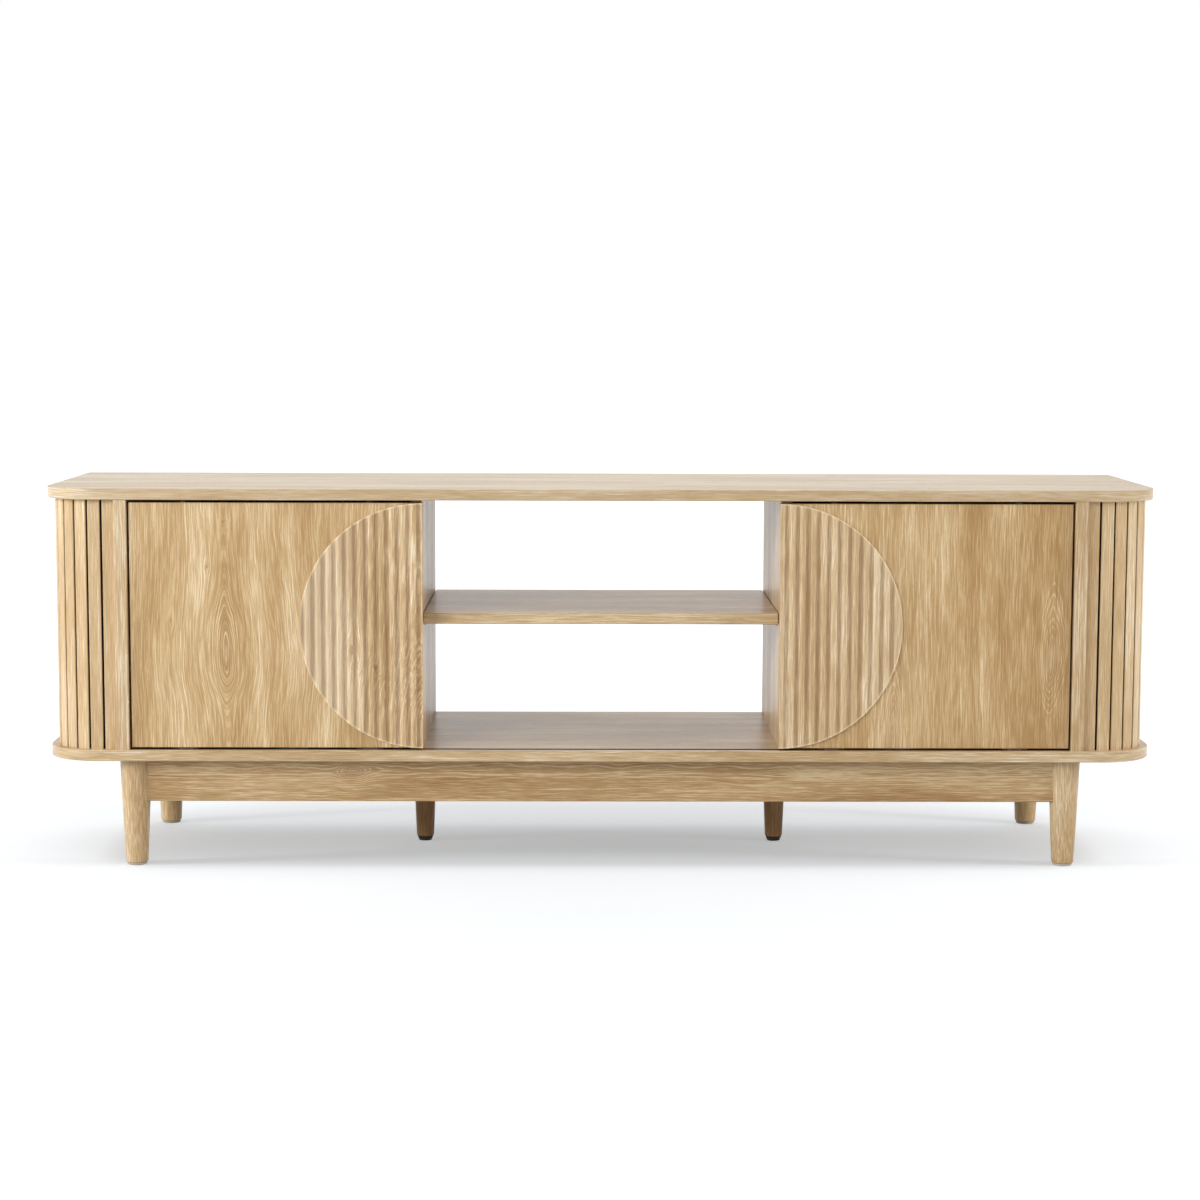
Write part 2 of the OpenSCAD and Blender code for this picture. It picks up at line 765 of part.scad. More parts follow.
module corner_blocks() {
    color(oak_shade) each_corner() difference() {
        translate([0, 0, leg_h - block_h]) corner_block();
        leg_bolt_place() cylinder(d = leg_bolt_d + 2 * fit, h = 2 * block_l);
        block_screw_place() cylinder(d = screw_d + 2 * fit, h = block_h + 2);
        rail_screw_places() translate([0, 0, -block_l])
            cylinder(d = screw_d + 2 * fit, h = 2 * block_l);
        rail_screw_places() mirror([0, 0, 1]) cylinder(d = screw_head_d + 2 * fit, h = block_l);
    }
}

// Bolts: four through the corner blocks into the legs, two from the cross rails into the middle legs
module leg_bolts() {
    color(zinc) {
        each_corner() leg_bolt_place() {
            cylinder(d = leg_bolt_d, h = leg_bolt_l + bolt_head_h);
            translate([0, 0, leg_bolt_l + fit]) cylinder(d = 2.4 * leg_bolt_d, h = washer_t);
            translate([0, 0, leg_bolt_l + fit + washer_t - eps])
                cylinder(d = bolt_head_w / cos(30), h = bolt_head_h, $fn = 6);
        }
        for (s = SIDES) translate([s * mid_leg_x, mid_leg_y, cross_rail_z0 - mid_bolt_in])
            cylinder(d = leg_bolt_d, h = mid_bolt_in + mid_bolt_up);
    }
}

// Screw up through a corner block into the bottom panel
module block_screw_place() {
    translate([-rail_in - block_screw_in.x, rail_in + block_screw_in.y, leg_h - block_h]) children();
}

// Screws along +Z of the child through the two arms of a corner block into the rails
module rail_screw_places() {
    through = block_nose - 2;
    translate([-rail_in - block_l + arm_screw_in, rail_in + through, leg_h - block_h / 2])
        rotate([90, 0, 0]) children();
    translate([-rail_in - through, rail_in + block_l - arm_screw_in, leg_h - block_h / 2])
        rotate([0, 90, 0]) children();
}

// Screws up through a cross rail into the bottom panel
module cross_screw_places() {
    for (y = [front_leg_y + rail_in + cross_screw_in, rear_leg_y - rail_in - cross_screw_in])
        translate([mid_leg_x, y, cross_rail_z0]) children();
}

// Where the frame screws enter the bottom panel
module frame_screw_places() {
    each_corner() block_screw_place() translate([0, 0, block_h - eps]) children();
    for (s = SIDES) on_side(s) cross_screw_places()
        translate([0, 0, cross_rail_t - eps]) children();
}

// Screw with its head under the first board and its point in the second
module frame_screw(through, into) {
    translate([0, 0, -screw_head_h]) cylinder(d = screw_head_d, h = screw_head_h);
    translate([0, 0, -eps]) cylinder(d = screw_d, h = through + into + eps);
}

module frame_screws() {
    color(zinc) {
        each_corner() {
            block_screw_place() frame_screw(block_h, screw_in);
            rail_screw_places() frame_screw(block_nose - 2, screw_in);
        }
        for (s = SIDES) on_side(s) cross_screw_places() frame_screw(cross_rail_t, screw_in);
    }
}

module mid_leg(side) {
    color(oak_shade) on_side(side) translate([mid_leg_x, mid_leg_y, 0]) difference() {
        turned_leg(mid_leg_top_d, mid_leg_foot_d, mid_leg_z0, cross_rail_z0);
        translate([0, 0, mid_leg_z0 - eps])
            cylinder(d = foot_stem_d + 2 * insert_wall + 2 * fit, h = insert_l + fit + eps);
        translate([0, 0, mid_leg_z0]) cylinder(d = foot_stem_d + 2 * fit, h = foot_stem_l + 2);
        translate([0, 0, cross_rail_z0 - mid_bolt_in - fit])
            cylinder(d = leg_bolt_d + 2 * fit, h = mid_bolt_in + 1);
    }
}

// Threaded inserts that the levelling feet screw into
module foot_inserts() {
    color(zinc) for (s = SIDES) translate([s * mid_leg_x, mid_leg_y, mid_leg_z0]) difference() {
        cylinder(d = foot_stem_d + 2 * insert_wall, h = insert_l);
        translate([0, 0, -1]) cylinder(d = foot_stem_d + 2 * run_fit, h = insert_l + 2);
    }
}

// Levelling foot: tapered pad on a stem that screws into the middle leg
module levelling_foot(side) {
    color(dark_plastic) on_side(side) translate([mid_leg_x, mid_leg_y, 0]) {
        cylinder(d1 = foot_pad_d, d2 = foot_pad_top_d, h = foot_pad_h);
        translate([0, 0, foot_pad_h - eps]) cylinder(d = foot_stem_d, h = foot_stem_l);
    }
}

// ---------------------------------------------------------------- doors

module door_panel(side) {
    color(oak) on_side(side) difference() {
        intersection() {
            board_x([door_x0, door_y0, door_z0], [door_x1, door_y1, door_z1]);
            board_z([door_x0, door_y0, door_z0], [door_x1, door_y1, door_z1]);
        }
        for (x = [inner_roller_x, outer_roller_x]) {
            box([x - housing_l / 2 - fit, track_y - housing_w / 2 - fit, door_z0 - eps],
                [x + housing_l / 2 + fit, track_y + housing_w / 2 + fit, housing_top_z + fit]);
            translate([x, track_y, door_z1 - barrel_l - fit])
                cylinder(d = barrel_d + 2 * fit, h = barrel_l + 1);
        }
    }
}

// Wavy section of the half disc, from the door's inner edge outwards; crests and valleys are arcs
module flute_section(first) {
    arc_r = flute_cross * (pow(flute_pitch / 4, 2) + pow(flute_depth / 2, 2)) / flute_depth;
    width = door_h / 2;
    last = ceil(width / flute_pitch);
    difference() {
        intersection() {
            square([width, disc_t]);
            union() {
                square([width, disc_t - flute_depth / 2]);
                for (i = [-1:last]) translate([first + i * flute_pitch, disc_t - arc_r]) circle(arc_r);
            }
        }
        for (i = [-1:last])
            translate([first + (i + 0.5) * flute_pitch, disc_t - flute_depth + arc_r]) circle(arc_r);
    }
}

// Half disc whose front edge is softened all round
module half_disc_blank() {
    r = door_h / 2;
    rotate([90, 0, 0]) rotate([0, 0, -90]) rotate_extrude(angle = 180, $fn = 240) {
        square([r - disc_edge_r, disc_t]);
        square([r, disc_t - disc_edge_r]);
        translate([r - disc_edge_r, disc_t - disc_edge_r]) circle(disc_edge_r, $fn = 48);
    }
}

// The two half discs are one disc cut in two, so the flutes run on across the joint
module door_disc(side) {
    color(oak_pale) on_side(side) translate([door_x0, door_y0, door_mid_z]) intersection() {
        half_disc_blank();
        translate([0, 0, -door_h / 2]) mirror([0, 1, 0]) linear_extrude(door_h)
            flute_section(side == RIGHT ? flute_offset : flute_pitch - flute_offset);
    }
}

// Housing let into the door's lower edge, open below for the roller
module roller_housing() {
    slot_w = housing_w - 2 * housing_wall;
    slot_l = roller_d + 2 * roller_room;
    flange_w = door_t - 2;
    z0 = door_z0 - housing_flange;
    difference() {
        union() {
            box([-housing_l / 2, -housing_w / 2, z0], [housing_l / 2, housing_w / 2, housing_top_z]);
            box([-housing_l / 2, -flange_w / 2, z0], [housing_l / 2, flange_w / 2, door_z0]);
        }
        box([-slot_l / 2, -slot_w / 2, z0 - 1],
            [slot_l / 2, slot_w / 2, housing_top_z - housing_wall]);
        translate([0, -housing_w, axle_z]) rod_y(axle_d + 0.04, 2 * housing_w);
    }
}

module at_rollers(side) {
    on_side(side) for (x = [inner_roller_x, outer_roller_x]) translate([x, track_y, 0]) children();
}

module roller_housings(side) {
    color(white_plastic) at_rollers(side) roller_housing();
}

module roller_axles(side) {
    color(zinc) at_rollers(side) translate([0, -housing_w / 2, axle_z]) rod_y(axle_d, housing_w);
}

// Roller with a hub, a dished web on both sides and a rounded tread
module roller(side, x) {
    tread_r = 1;
    hub_d = axle_d + 4;
    rim = 2.5;
    dish = 1;
    r = roller_d / 2;
    color(white_plastic) on_side(side) translate([x, track_y, axle_z]) rotate([90, 0, 0]) difference() {
        rotate_extrude() {
            translate([0, -roller_w / 2]) square([r - tread_r, roller_w]);
            translate([0, -roller_w / 2 + tread_r]) square([r, roller_w - 2 * tread_r]);
            for (z = [-1, 1]) translate([r - tread_r, z * (roller_w / 2 - tread_r)])
                circle(tread_r, $fn = 32);
        }
        cylinder(d = axle_d + 2 * run_fit, h = 2 * roller_w, center = true);
        for (z = [-1, 1]) translate([0, 0, z * (roller_w / 2 - dish / 2 + eps)]) difference() {
            cylinder(r = r - rim, h = dish + 2 * eps, center = true);
            cylinder(d = hub_d, h = 2 * dish, center = true);
        }
    }
}

// Barrel let into the door's upper edge; the guide pin's collar is trapped under its cap
module guide_barrels(side) {
    flange_h = 1.2;
    color(white_plastic) at_rollers(side) difference() {
        union() {
            translate([0, 0, door_z1 - barrel_l]) cylinder(d = barrel_d, h = barrel_l + eps);
            translate([0, 0, door_z1]) cylinder(d = door_t - 2, h = flange_h);
        }
        translate([0, 0, door_z1 - barrel_l + barrel_cap])
            cylinder(d = barrel_bore_d, h = barrel_l - 2 * barrel_cap);
        translate([0, 0, door_z1 - barrel_cap - 1])
            cylinder(d = guide_d + 2 * run_fit, h = barrel_cap + flange_h + 2);
    }
}

module guide_pin(side, x) {
    collar_z1 = door_z1 - barrel_cap - air;
    color(white_plastic) on_side(side) translate([x, track_y, 0]) {
        translate([0, 0, collar_z1 - guide_collar_h])
            cylinder(d = barrel_bore_d - 2 * run_fit, h = guide_collar_h);
        translate([0, 0, collar_z1 - eps])
            cylinder(d = guide_d, h = guide_top_z - 1 - collar_z1 + eps);
        translate([0, 0, guide_top_z - 1 - eps])
            cylinder(d1 = guide_d, d2 = guide_d - 1.6, h = 1 + eps);
    }
}

// ---------------------------------------------------------------- nodes

top_panel();
bottom_panel();
side_panel(LEFT);  // left_side_panel
side_panel(RIGHT);  // right_side_panel
partition(LEFT);  // left_partition
partition(RIGHT);  // right_partition
back_panel(LEFT);  // left_back_panel
back_panel(RIGHT);  // right_back_panel
centre_shelf();
side_shelf(LEFT);  // left_shelf
side_shelf(RIGHT);  // right_shelf
shelf_pins();
slats(LEFT);  // left_slats
slats(RIGHT);  // right_slats
slat_backing(LEFT);  // left_slat_backing
slat_backing(RIGHT);  // right_slat_backing
end_board(LEFT);  // left_end_board
end_board(RIGHT);  // right_end_board
lower_track();
upper_track();
panel_dowels();
cam_locks();
cam_bolts();
front_rail();
rear_rail();
side_rail(LEFT);  // left_side_rail
side_rail(RIGHT);  // right_side_rail
cross_rail(LEFT);  // left_cross_rail
cross_rail(RIGHT);  // right_cross_rail
leg(LEFT, front_leg_y, 1);  // front_left_leg
leg(RIGHT, front_leg_y, 1);  // front_right_leg
leg(LEFT, rear_leg_y, -1);  // rear_left_leg
leg(RIGHT, rear_leg_y, -1);  // rear_right_leg
mid_leg(LEFT);  // left_mid_leg
mid_leg(RIGHT);  // right_mid_leg
leg_glides();
corner_blocks();
leg_bolts();
frame_screws();
foot_inserts();
levelling_foot(LEFT);  // left_levelling_foot
levelling_foot(RIGHT);  // right_levelling_foot
door_panel(LEFT);  // left_door_panel
door_disc(LEFT);  // left_door_disc
roller_housings(LEFT);  // left_roller_housings
roller_axles(LEFT);  // left_roller_axles
roller(LEFT, inner_roller_x);  // left_inner_roller
roller(LEFT, outer_roller_x);  // left_outer_roller
guide_barrels(LEFT);  // left_guide_barrels
guide_pin(LEFT, inner_roller_x);  // left_inner_guide_pin
guide_pin(LEFT, outer_roller_x);  // left_outer_guide_pin
door_panel(RIGHT);  // right_door_panel
door_disc(RIGHT);  // right_door_disc
roller_housings(RIGHT);  // right_roller_housings
roller_axles(RIGHT);  // right_roller_axles
roller(RIGHT, inner_roller_x);  // right_inner_roller
roller(RIGHT, outer_roller_x);  // right_outer_roller
guide_barrels(RIGHT);  // right_guide_barrels
guide_pin(RIGHT, inner_roller_x);  // right_inner_guide_pin
guide_pin(RIGHT, outer_roller_x);  // right_outer_guide_pin
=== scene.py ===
# %% [markdown]
# # A low oak media cabinet
#
# The real cabinet is flat-pack furniture. Its boards are pressed wood covered with printed oak, its rounded
# ends are rows of vertical slats, its two sliding doors carry fluted half discs, and a frame with six legs
# holds it up. The boards, joints and fittings are already measured solids, so this lesson is about the
# rest: the light, the oak and the small fittings. Everything is in metres, with the floor at zero.

# %% Load the cabinet
import math

import bmesh
import bpy
from mathutils import Matrix, Vector


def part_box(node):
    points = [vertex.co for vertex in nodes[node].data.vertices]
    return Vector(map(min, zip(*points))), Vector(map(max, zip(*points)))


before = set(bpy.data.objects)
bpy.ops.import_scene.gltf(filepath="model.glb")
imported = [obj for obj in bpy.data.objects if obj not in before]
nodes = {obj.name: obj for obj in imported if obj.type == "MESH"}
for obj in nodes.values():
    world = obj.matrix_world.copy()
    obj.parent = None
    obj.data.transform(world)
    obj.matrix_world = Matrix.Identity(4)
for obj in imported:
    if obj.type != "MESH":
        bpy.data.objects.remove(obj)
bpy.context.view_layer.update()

# %% [markdown]
# ## The camera
#
# Furniture is often shown from the front with a long lens, a little above the top, so that the sides stay
# upright. The camera is turned with three small rotations instead of a tracking target, because a target
# can't give the slight roll that a hand-set tripod leaves.

# %% Place the camera
LENS_MM = 78.61
SENSOR_MM = 36
SIGHT_END = 200
CAMERA_PLACE = Vector((-0.0313, -3.9128, 0.7872))
LOOKS_DOWN = 0.1064
TURNS_RIGHT = 0.0079
ROLL = 0.0028

camera_data = bpy.data.cameras.new("camera")
camera_data.lens = LENS_MM
camera_data.sensor_width = SENSOR_MM
camera_data.clip_end = SIGHT_END
camera = bpy.data.objects.new("camera", camera_data)
bpy.context.scene.collection.objects.link(camera)
camera.matrix_world = (
    Matrix.Translation(CAMERA_PLACE)
    @ Matrix.Rotation(-TURNS_RIGHT, 4, "Z")
    @ Matrix.Rotation(math.pi / 2 - LOOKS_DOWN, 4, "X")
    @ Matrix.Rotation(ROLL, 4, "Z")
)
bpy.context.scene.camera = camera
bpy.context.scene.view_settings.view_transform = "Standard"

# %% [markdown]
# ## A short way to write a finish
#
# A finish is a small network of nodes: coordinates go in, noise and lines are worked out, and colour,
# roughness and bump come out. Wiring nodes by hand takes many lines, so this class has one short method for
# each kind of node. An input that is given a socket is linked, and an input that is given a number is set.


# %% A helper for finishes
class Finish:
    def __init__(self, name, tree=None):
        if tree is None:
            self.material = bpy.data.materials.new(name)
            self.material.use_nodes = True
            tree = self.material.node_tree
        self.tree = tree
        self.shader = tree.nodes.get("Principled BSDF")

    def put(self, socket, value):
        if isinstance(value, bpy.types.NodeSocket):
            self.tree.links.new(value, socket)
        else:
            socket.default_value = value

    def add(self, kind, values=(), **settings):
        made = self.tree.nodes.new(kind)
        for key, value in settings.items():
            setattr(made, key, value)
        pairs = values.items() if isinstance(values, dict) else enumerate(values)
        for key, value in pairs:
            self.put(made.inputs[key], value)
        return made

    def maths(self, operation, *values):
        return self.add("ShaderNodeMath", values, operation=operation).outputs[0]

    def vector(self, x=0.0, y=0.0, z=0.0):
        return self.add("ShaderNodeCombineXYZ", (x, y, z)).outputs[0]

    def stretched(self, place, scale):
        return self.add("ShaderNodeVectorMath", (place, scale), operation="MULTIPLY").outputs[0]

    def moved(self, place, shift):
        return self.add("ShaderNodeVectorMath", (place, shift), operation="ADD").outputs[0]

    def apart(self, place):
        return self.add("ShaderNodeSeparateXYZ", (place,)).outputs

    def noise(self, place, detail=2.0, roughness=0.5):
        values = {"Vector": place, "Scale": 1.0, "Detail": detail, "Roughness": roughness}
        return self.add("ShaderNodeTexNoise", values).outputs[0]

    def around(self, value, middle=0.0, reach=1.0):
        """A noise value turned from 0..1 into middle - reach / 2 .. middle + reach / 2."""
        return self.maths("MULTIPLY_ADD", value, reach, self.maths("ADD", middle, -0.5 * reach))

    def between(self, value, low, high, to_low=0.0, to_high=1.0):
        values = {0: value, 1: low, 2: high, 3: to_low, 4: to_high}
        return self.add("ShaderNodeMapRange", values, interpolation_type="SMOOTHSTEP").outputs[0]

    def ramp(self, value, stops):
        made = self.add("ShaderNodeValToRGB", (value,))
        band = made.color_ramp
        while len(band.elements) < len(stops):
            band.elements.new(0.5)
        for element, (position, colour) in zip(band.elements, stops):
            element.position = position
            element.color = (*colour, 1.0)
        return made.outputs[0]

    def mix(self, amount, first, second, blend="MIX"):
        made = self.add("ShaderNodeMix", data_type="RGBA", blend_type=blend)
        self.put(made.inputs[0], amount)
        self.put(made.inputs[6], first if isinstance(first, bpy.types.NodeSocket) else (*first, 1.0))
        self.put(made.inputs[7], second if isinstance(second, bpy.types.NodeSocket) else (*second, 1.0))
        return made.outputs[2]

    def bump(self, height, strength, distance):
        values = {"Height": height, "Strength": strength, "Distance": distance}
        return self.add("ShaderNodeBump", values).outputs[0]


def srgb(red, green, blue):
    """A colour as it looks, 0 to 255, made linear."""
    shares = [c / 255 for c in (red, green, blue)]
    return tuple(((c + 0.055) / 1.055) ** 2.4 if c > 0.04 else c / 12.92 for c in shares)


finish_ways = [name for name in vars(Finish) if not name.startswith("_")]
print("a finish can:", ", ".join(finish_ways))

# %% [markdown]
# ## The floor
#
# A studio shot stands on a seamless white sweep. A curved backdrop would hide the horizon too, but a wide
# plain sheet looks the same from every side. Cameras and mirrors see it lifted to white. Close to the
# cabinet it is lifted less, so that the lamps can still draw a soft shadow on it.

# %% Lay the floor
FLOOR_REACH = 60

floor_mesh = bpy.data.meshes.new("floor")
sheet = bmesh.new()
bmesh.ops.create_grid(sheet, x_segments=1, y_segments=1, size=FLOOR_REACH)
sheet.to_mesh(floor_mesh)
sheet.free()
floor = bpy.data.objects.new("floor", floor_mesh)
bpy.context.scene.collection.objects.link(floor)
print("floor is", floor.dimensions.x, "m wide")


# %% Whiten the floor
def seen_white(finish):
    """1 for rays from the camera, a mirror or glass, and 0 for rays that carry light."""
    path = finish.add("ShaderNodeLightPath").outputs
    either = finish.maths("MAXIMUM", path["Is Camera Ray"], path["Is Glossy Ray"])
    return finish.maths("MAXIMUM", either, path["Is Transmission Ray"])


FLOOR_TONE = (0.82, 0.85, 0.88, 1.0)
LIFT_TONE = (0.90, 0.95, 1.0, 1.0)
LIFT_NEAR, LIFT_FAR = 0.385, 1.0
SHADOW_REACH = (1.0, 2.4)

floor_finish = Finish("floor")
floor_finish.tree.nodes.remove(floor_finish.shader)
matt = floor_finish.add("ShaderNodeBsdfDiffuse", {"Color": FLOOR_TONE})
spot = floor_finish.add("ShaderNodeTexCoord").outputs["Object"]
away = floor_finish.add("ShaderNodeVectorMath", (spot,), operation="LENGTH").outputs["Value"]
lifted = floor_finish.between(away, *SHADOW_REACH, LIFT_NEAR, LIFT_FAR)
strength = floor_finish.maths("MULTIPLY", seen_white(floor_finish), lifted)
lift = floor_finish.add("ShaderNodeEmission", {"Color": LIFT_TONE, "Strength": strength})
both = floor_finish.add("ShaderNodeAddShader", (matt.outputs[0], lift.outputs[0]))
output = floor_finish.tree.nodes["Material Output"]
floor_finish.tree.links.new(both.outputs[0], output.inputs["Surface"])
floor_mesh.materials.append(floor_finish.material)
print("floor is fully white past", SHADOW_REACH[1], "m from the cabinet's middle")

# %% [markdown]
# ## The light
#
# The room gives a weak light from all round, and soft boxes do the rest: one at each side, a strong one to
# the left of the camera, so that the doors get slightly darker towards the right, and a weak one overhead.
# Lamps that suit the oak would wash out the shadow, so these four leave the floor alone and five others
# light nothing but the floor. Three of those hang high and decide how far the shadow reaches. Two stand low
# beside the cabinet and draw the faint streaks behind its legs. Blender calls this light linking: a lamp is
# given a group of objects that it lights, or that it leaves out. The side lamps are also kept out of
# reflections, because they would show as pale patches on the top.

# %% Light the room
ROOM_LIGHT = 0.43

world = bpy.data.worlds.new("room")
bpy.context.scene.world = world
world.use_nodes = True
room = Finish("room", world.node_tree)
background = world.node_tree.nodes["Background"]
background.inputs["Color"].default_value = (1.0, 1.0, 1.0, 1.0)
room.put(background.inputs["Strength"], room.maths("MAXIMUM", seen_white(room), ROOM_LIGHT))
print("room light:", ROOM_LIGHT)


# %% Choose what a lamp lights
def floor_group(name, state):
    """A group that keeps a lamp to the floor, or off it."""
    group = bpy.data.collections.new(name)
    group.objects.link(floor)
    group.collection_objects[0].light_linking.link_state = state
    return group


only_floor = floor_group("only_floor", "INCLUDE")
no_floor = floor_group("no_floor", "EXCLUDE")
print("light groups:", only_floor.name, "and", no_floor.name)


# %% Hang the lamps
def soft_box(name, place, target, size, power, group):
    """A rectangular lamp at place, turned to target, that lights what its group allows."""
    data = bpy.data.lights.new(name, "AREA")
    data.shape = "RECTANGLE"
    data.size, data.size_y = size
    data.energy = power
    lamp = bpy.data.objects.new(name, data)
    bpy.context.scene.collection.objects.link(lamp)
    aim = (Vector(target) - Vector(place)).to_track_quat("-Z", "Y")
    lamp.matrix_world = Matrix.Translation(place) @ aim.to_matrix().to_4x4()
    lamp.light_linking.receiver_collection = group
    print(name, "stands", round((Vector(target) - Vector(place)).length, 2), "m away")
    return lamp


MIDDLE = (0.0, -0.1, 0.35)
UNDER_MIDDLE = (0.0, -0.1, 0.0)
FLOOR_MIDDLE = (0.0, 0.0, 0.0)
for side, across, power in (("left", -3.8, 61), ("right", 3.8, 73)):
    side_box = soft_box(f"{side}_box", (across, -1.1, 1.4), MIDDLE, (1.6, 1.8), power, no_floor)
    side_box.visible_glossy = False
soft_box("key_box", (-2.5, -3.5, 2.0), MIDDLE, (2.0, 1.6), 101, no_floor)
soft_box("overhead_box", (0.0, 0.3, 2.4), MIDDLE, (3.2, 1.6), 17, no_floor)
soft_box("floor_box", (0.0, 1.5, 2.2), MIDDLE, (3.2, 1.6), 12, only_floor)
for side, across in (("left", -2.0), ("right", 2.0)):
    soft_box(f"{side}_floor_box", (across, -0.5, 2.7), FLOOR_MIDDLE, (0.9, 0.7), 18, only_floor)
for side, across in (("left", -3.0), ("right", 3.0)):
    soft_box(f"{side}_low_box", (across, -0.6, 0.45), UNDER_MIDDLE, (0.35, 0.5), 30, only_floor)

# %% [markdown]
# ## Printed oak
#
# The boards wear a printed oak film, and the print runs along each board. Four things make it read as oak:
# short cream fibres, soft bands of warmer and paler wood, thin cream lines where the growth rings come up,
# and hearts, where those rings close into nested pointed ovals. Noise that is stretched along the board
# gives the fibres, bands and lines. For the rings the same noise reads the distance from a heart, measured
# much shorter along the grain, instead of the distance across the board, so straight lines bend round the
# heart by themselves. A picture of veneer would repeat and blur, but this print is sharp at every size.

# %% Name the colours and scales of the print
OAK_DEEP = srgb(166, 131, 82)
OAK_TAN = srgb(190, 158, 111)
OAK_PALE = srgb(205, 177, 134)
OAK_CREAM = srgb(230, 210, 174)
OAK_PORE = srgb(126, 92, 56)
OAK_KNOT = srgb(150, 108, 66)

# Waves per metre across the board, through it and along it.
DRIFT = (5.0, 5.0, 2.4)
RIPPLE = (42.0, 42.0, 17.0)
BAND = (24.0, 16.0, 3.4)
STREAK = (140.0, 30.0, 5.0)
LINE = (620.0, 34.0, 4.5)
FIBRE = (900.0, 900.0, 26.0)
PORE = (1500.0, 1500.0, 110.0)
print("a fibre is about", round(1000 / FIBRE[0], 1), "mm wide and", round(1000 / FIBRE[2]), "mm long")


# %% Read a point's place
def object_place(finish):
    """Where a point is on the cabinet, as three numbers."""
    return finish.apart(finish.add("ShaderNodeTexCoord").outputs["Object"])


def object_facing(finish):
    """Which way the surface faces there, as three numbers."""
    return finish.apart(finish.add("ShaderNodeTexCoord").outputs["Normal"])


def base_colour(finish):
    """The colour that a finish has so far."""
    return finish.shader.inputs["Base Color"].links[0].from_socket


def either_vector(finish, choose, first, second):
    """The first of two vectors where choose is 0, and the second where it is 1."""
    made = finish.add("ShaderNodeMix", data_type="VECTOR")
    finish.put(made.inputs[0], choose)
    finish.put(made.inputs[4], first)
    finish.put(made.inputs[5], second)
    return made.outputs[1]


# %% Run the grain along a board
END_FACING = 0.8


def grain_place(finish, along):
    """Coordinates (across, through, along), with a band of its own over the ends of the board."""
    x, y, z = object_place(finish)
    nx, ny, nz = object_facing(finish)
    if along == "Z":
        face, end, facing = finish.vector(x, y, z), finish.vector(y, z, x), nz
    elif along == "X":
        face, end, facing = finish.vector(z, y, x), finish.vector(z, x, y), nx
    else:
        face, end, facing = finish.vector(z, x, y), finish.vector(z, y, x), ny
    is_end = finish.maths("GREATER_THAN", finish.maths("ABSOLUTE", facing), END_FACING)
    return either_vector(finish, is_end, face, end)


# %% [markdown]
# ### Round corners
#
# The top and the bottom have round front corners, and their edge band is one long strip that is bent round
# them. The band's print follows that strip, so its place is the length along the outline: straight, then an
# arc, then straight again. The slats at the ends stand along the same kind of outline and use it too.

# %% Measure along an outline
CORNER_R = 0.080
EDGE_FACING = 0.6

top_low, top_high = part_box("top_panel")
STRAIGHT_X = top_high.x - CORNER_R
STRAIGHT_Y = top_low.y + CORNER_R
print("corners are round past", round(STRAIGHT_X, 3), "and", round(STRAIGHT_Y, 3))


def from_middle(finish, first, second):
    """The distance from a centre, of a point that is this far from it in two directions."""
    squares = finish.maths("ADD", finish.maths("POWER", first, 2.0), finish.maths("POWER", second, 2.0))
    return finish.maths("SQRT", squares)


def round_place(finish, x, y, radius):
    """How far a point is along an outline that turns a corner with this radius, and how deep behind it."""
    out_x = finish.maths("ABSOLUTE", x)
    past_x = finish.maths("MAXIMUM", finish.maths("SUBTRACT", out_x, STRAIGHT_X), 0.0)
    past_y = finish.maths("MAXIMUM", finish.maths("SUBTRACT", STRAIGHT_Y, y), 0.0)
    straight = finish.maths("MINIMUM", out_x, STRAIGHT_X)
    arc = finish.maths("MULTIPLY", finish.maths("ARCTAN2", past_x, past_y), radius)
    behind = finish.maths("MAXIMUM", finish.maths("SUBTRACT", y, STRAIGHT_Y), 0.0)
    length = finish.maths("ADD", finish.maths("ADD", straight, arc), behind)
    return length, finish.maths("SUBTRACT", radius, from_middle(finish, past_x, past_y))


def banded_place(finish):
    """Coordinates for a panel with round front corners, whose edge band follows its outline."""
    x, y, z = object_place(finish)
    length = round_place(finish, x, y, CORNER_R)[0]
    length = finish.maths("MULTIPLY", length, finish.maths("SIGN", x))
    upward = object_facing(finish)[2]
    is_edge = finish.maths("LESS_THAN", finish.maths("ABSOLUTE", upward), EDGE_FACING)
    return either_vector(finish, is_edge, finish.vector(y, z, x), finish.vector(z, 0.0, length))


# %% [markdown]
# ### Hearts and knots
#
# A heart is where the saw ran nearly along the growth rings, so that each ring comes up as a long pointed
# oval. A knot is the root of a branch, and the grain parts round it. Each of them is a few numbers here:
# where its middle is across and along the board, and how large it is.

# %% Close the growth rings round a heart
RING_POINT = 1.6
HEART_UPWARD = 1.5
HEART_TAPER = 1.7
HEARTS_MERGE = 0.01
CLOSE_RING = 0.0030
WIDE_RING = 0.0042
CLOSE_RINGS_END = 0.019
RINGS_FADE = (0.0207, 0.0180)
RING_WOBBLE = 2.2
print("rings are", CLOSE_RING * 1000, "mm apart in a heart and", WIDE_RING * 1000, "mm outside")


def heart_distance(finish, across, along, heart):
    """How far a point is from a heart, measured much shorter along the grain than across it."""
    centre_across, centre_along, wide, long = heart
    u = finish.maths("ABSOLUTE", finish.maths("SUBTRACT", across, centre_across))
    v = finish.maths("SUBTRACT", along, centre_along)
    v = finish.maths("MAXIMUM", finish.maths("DIVIDE", v, HEART_UPWARD), finish.maths("MULTIPLY", v, -1.0))
    v = finish.maths("TANH", finish.maths("POWER", finish.maths("DIVIDE", v, long), HEART_TAPER))
    v = finish.maths("MULTIPLY", v, wide)
    pointed = finish.maths("ADD", *(finish.maths("POWER", part, RING_POINT) for part in (u, v)))
    return finish.maths("POWER", pointed, 1 / RING_POINT)


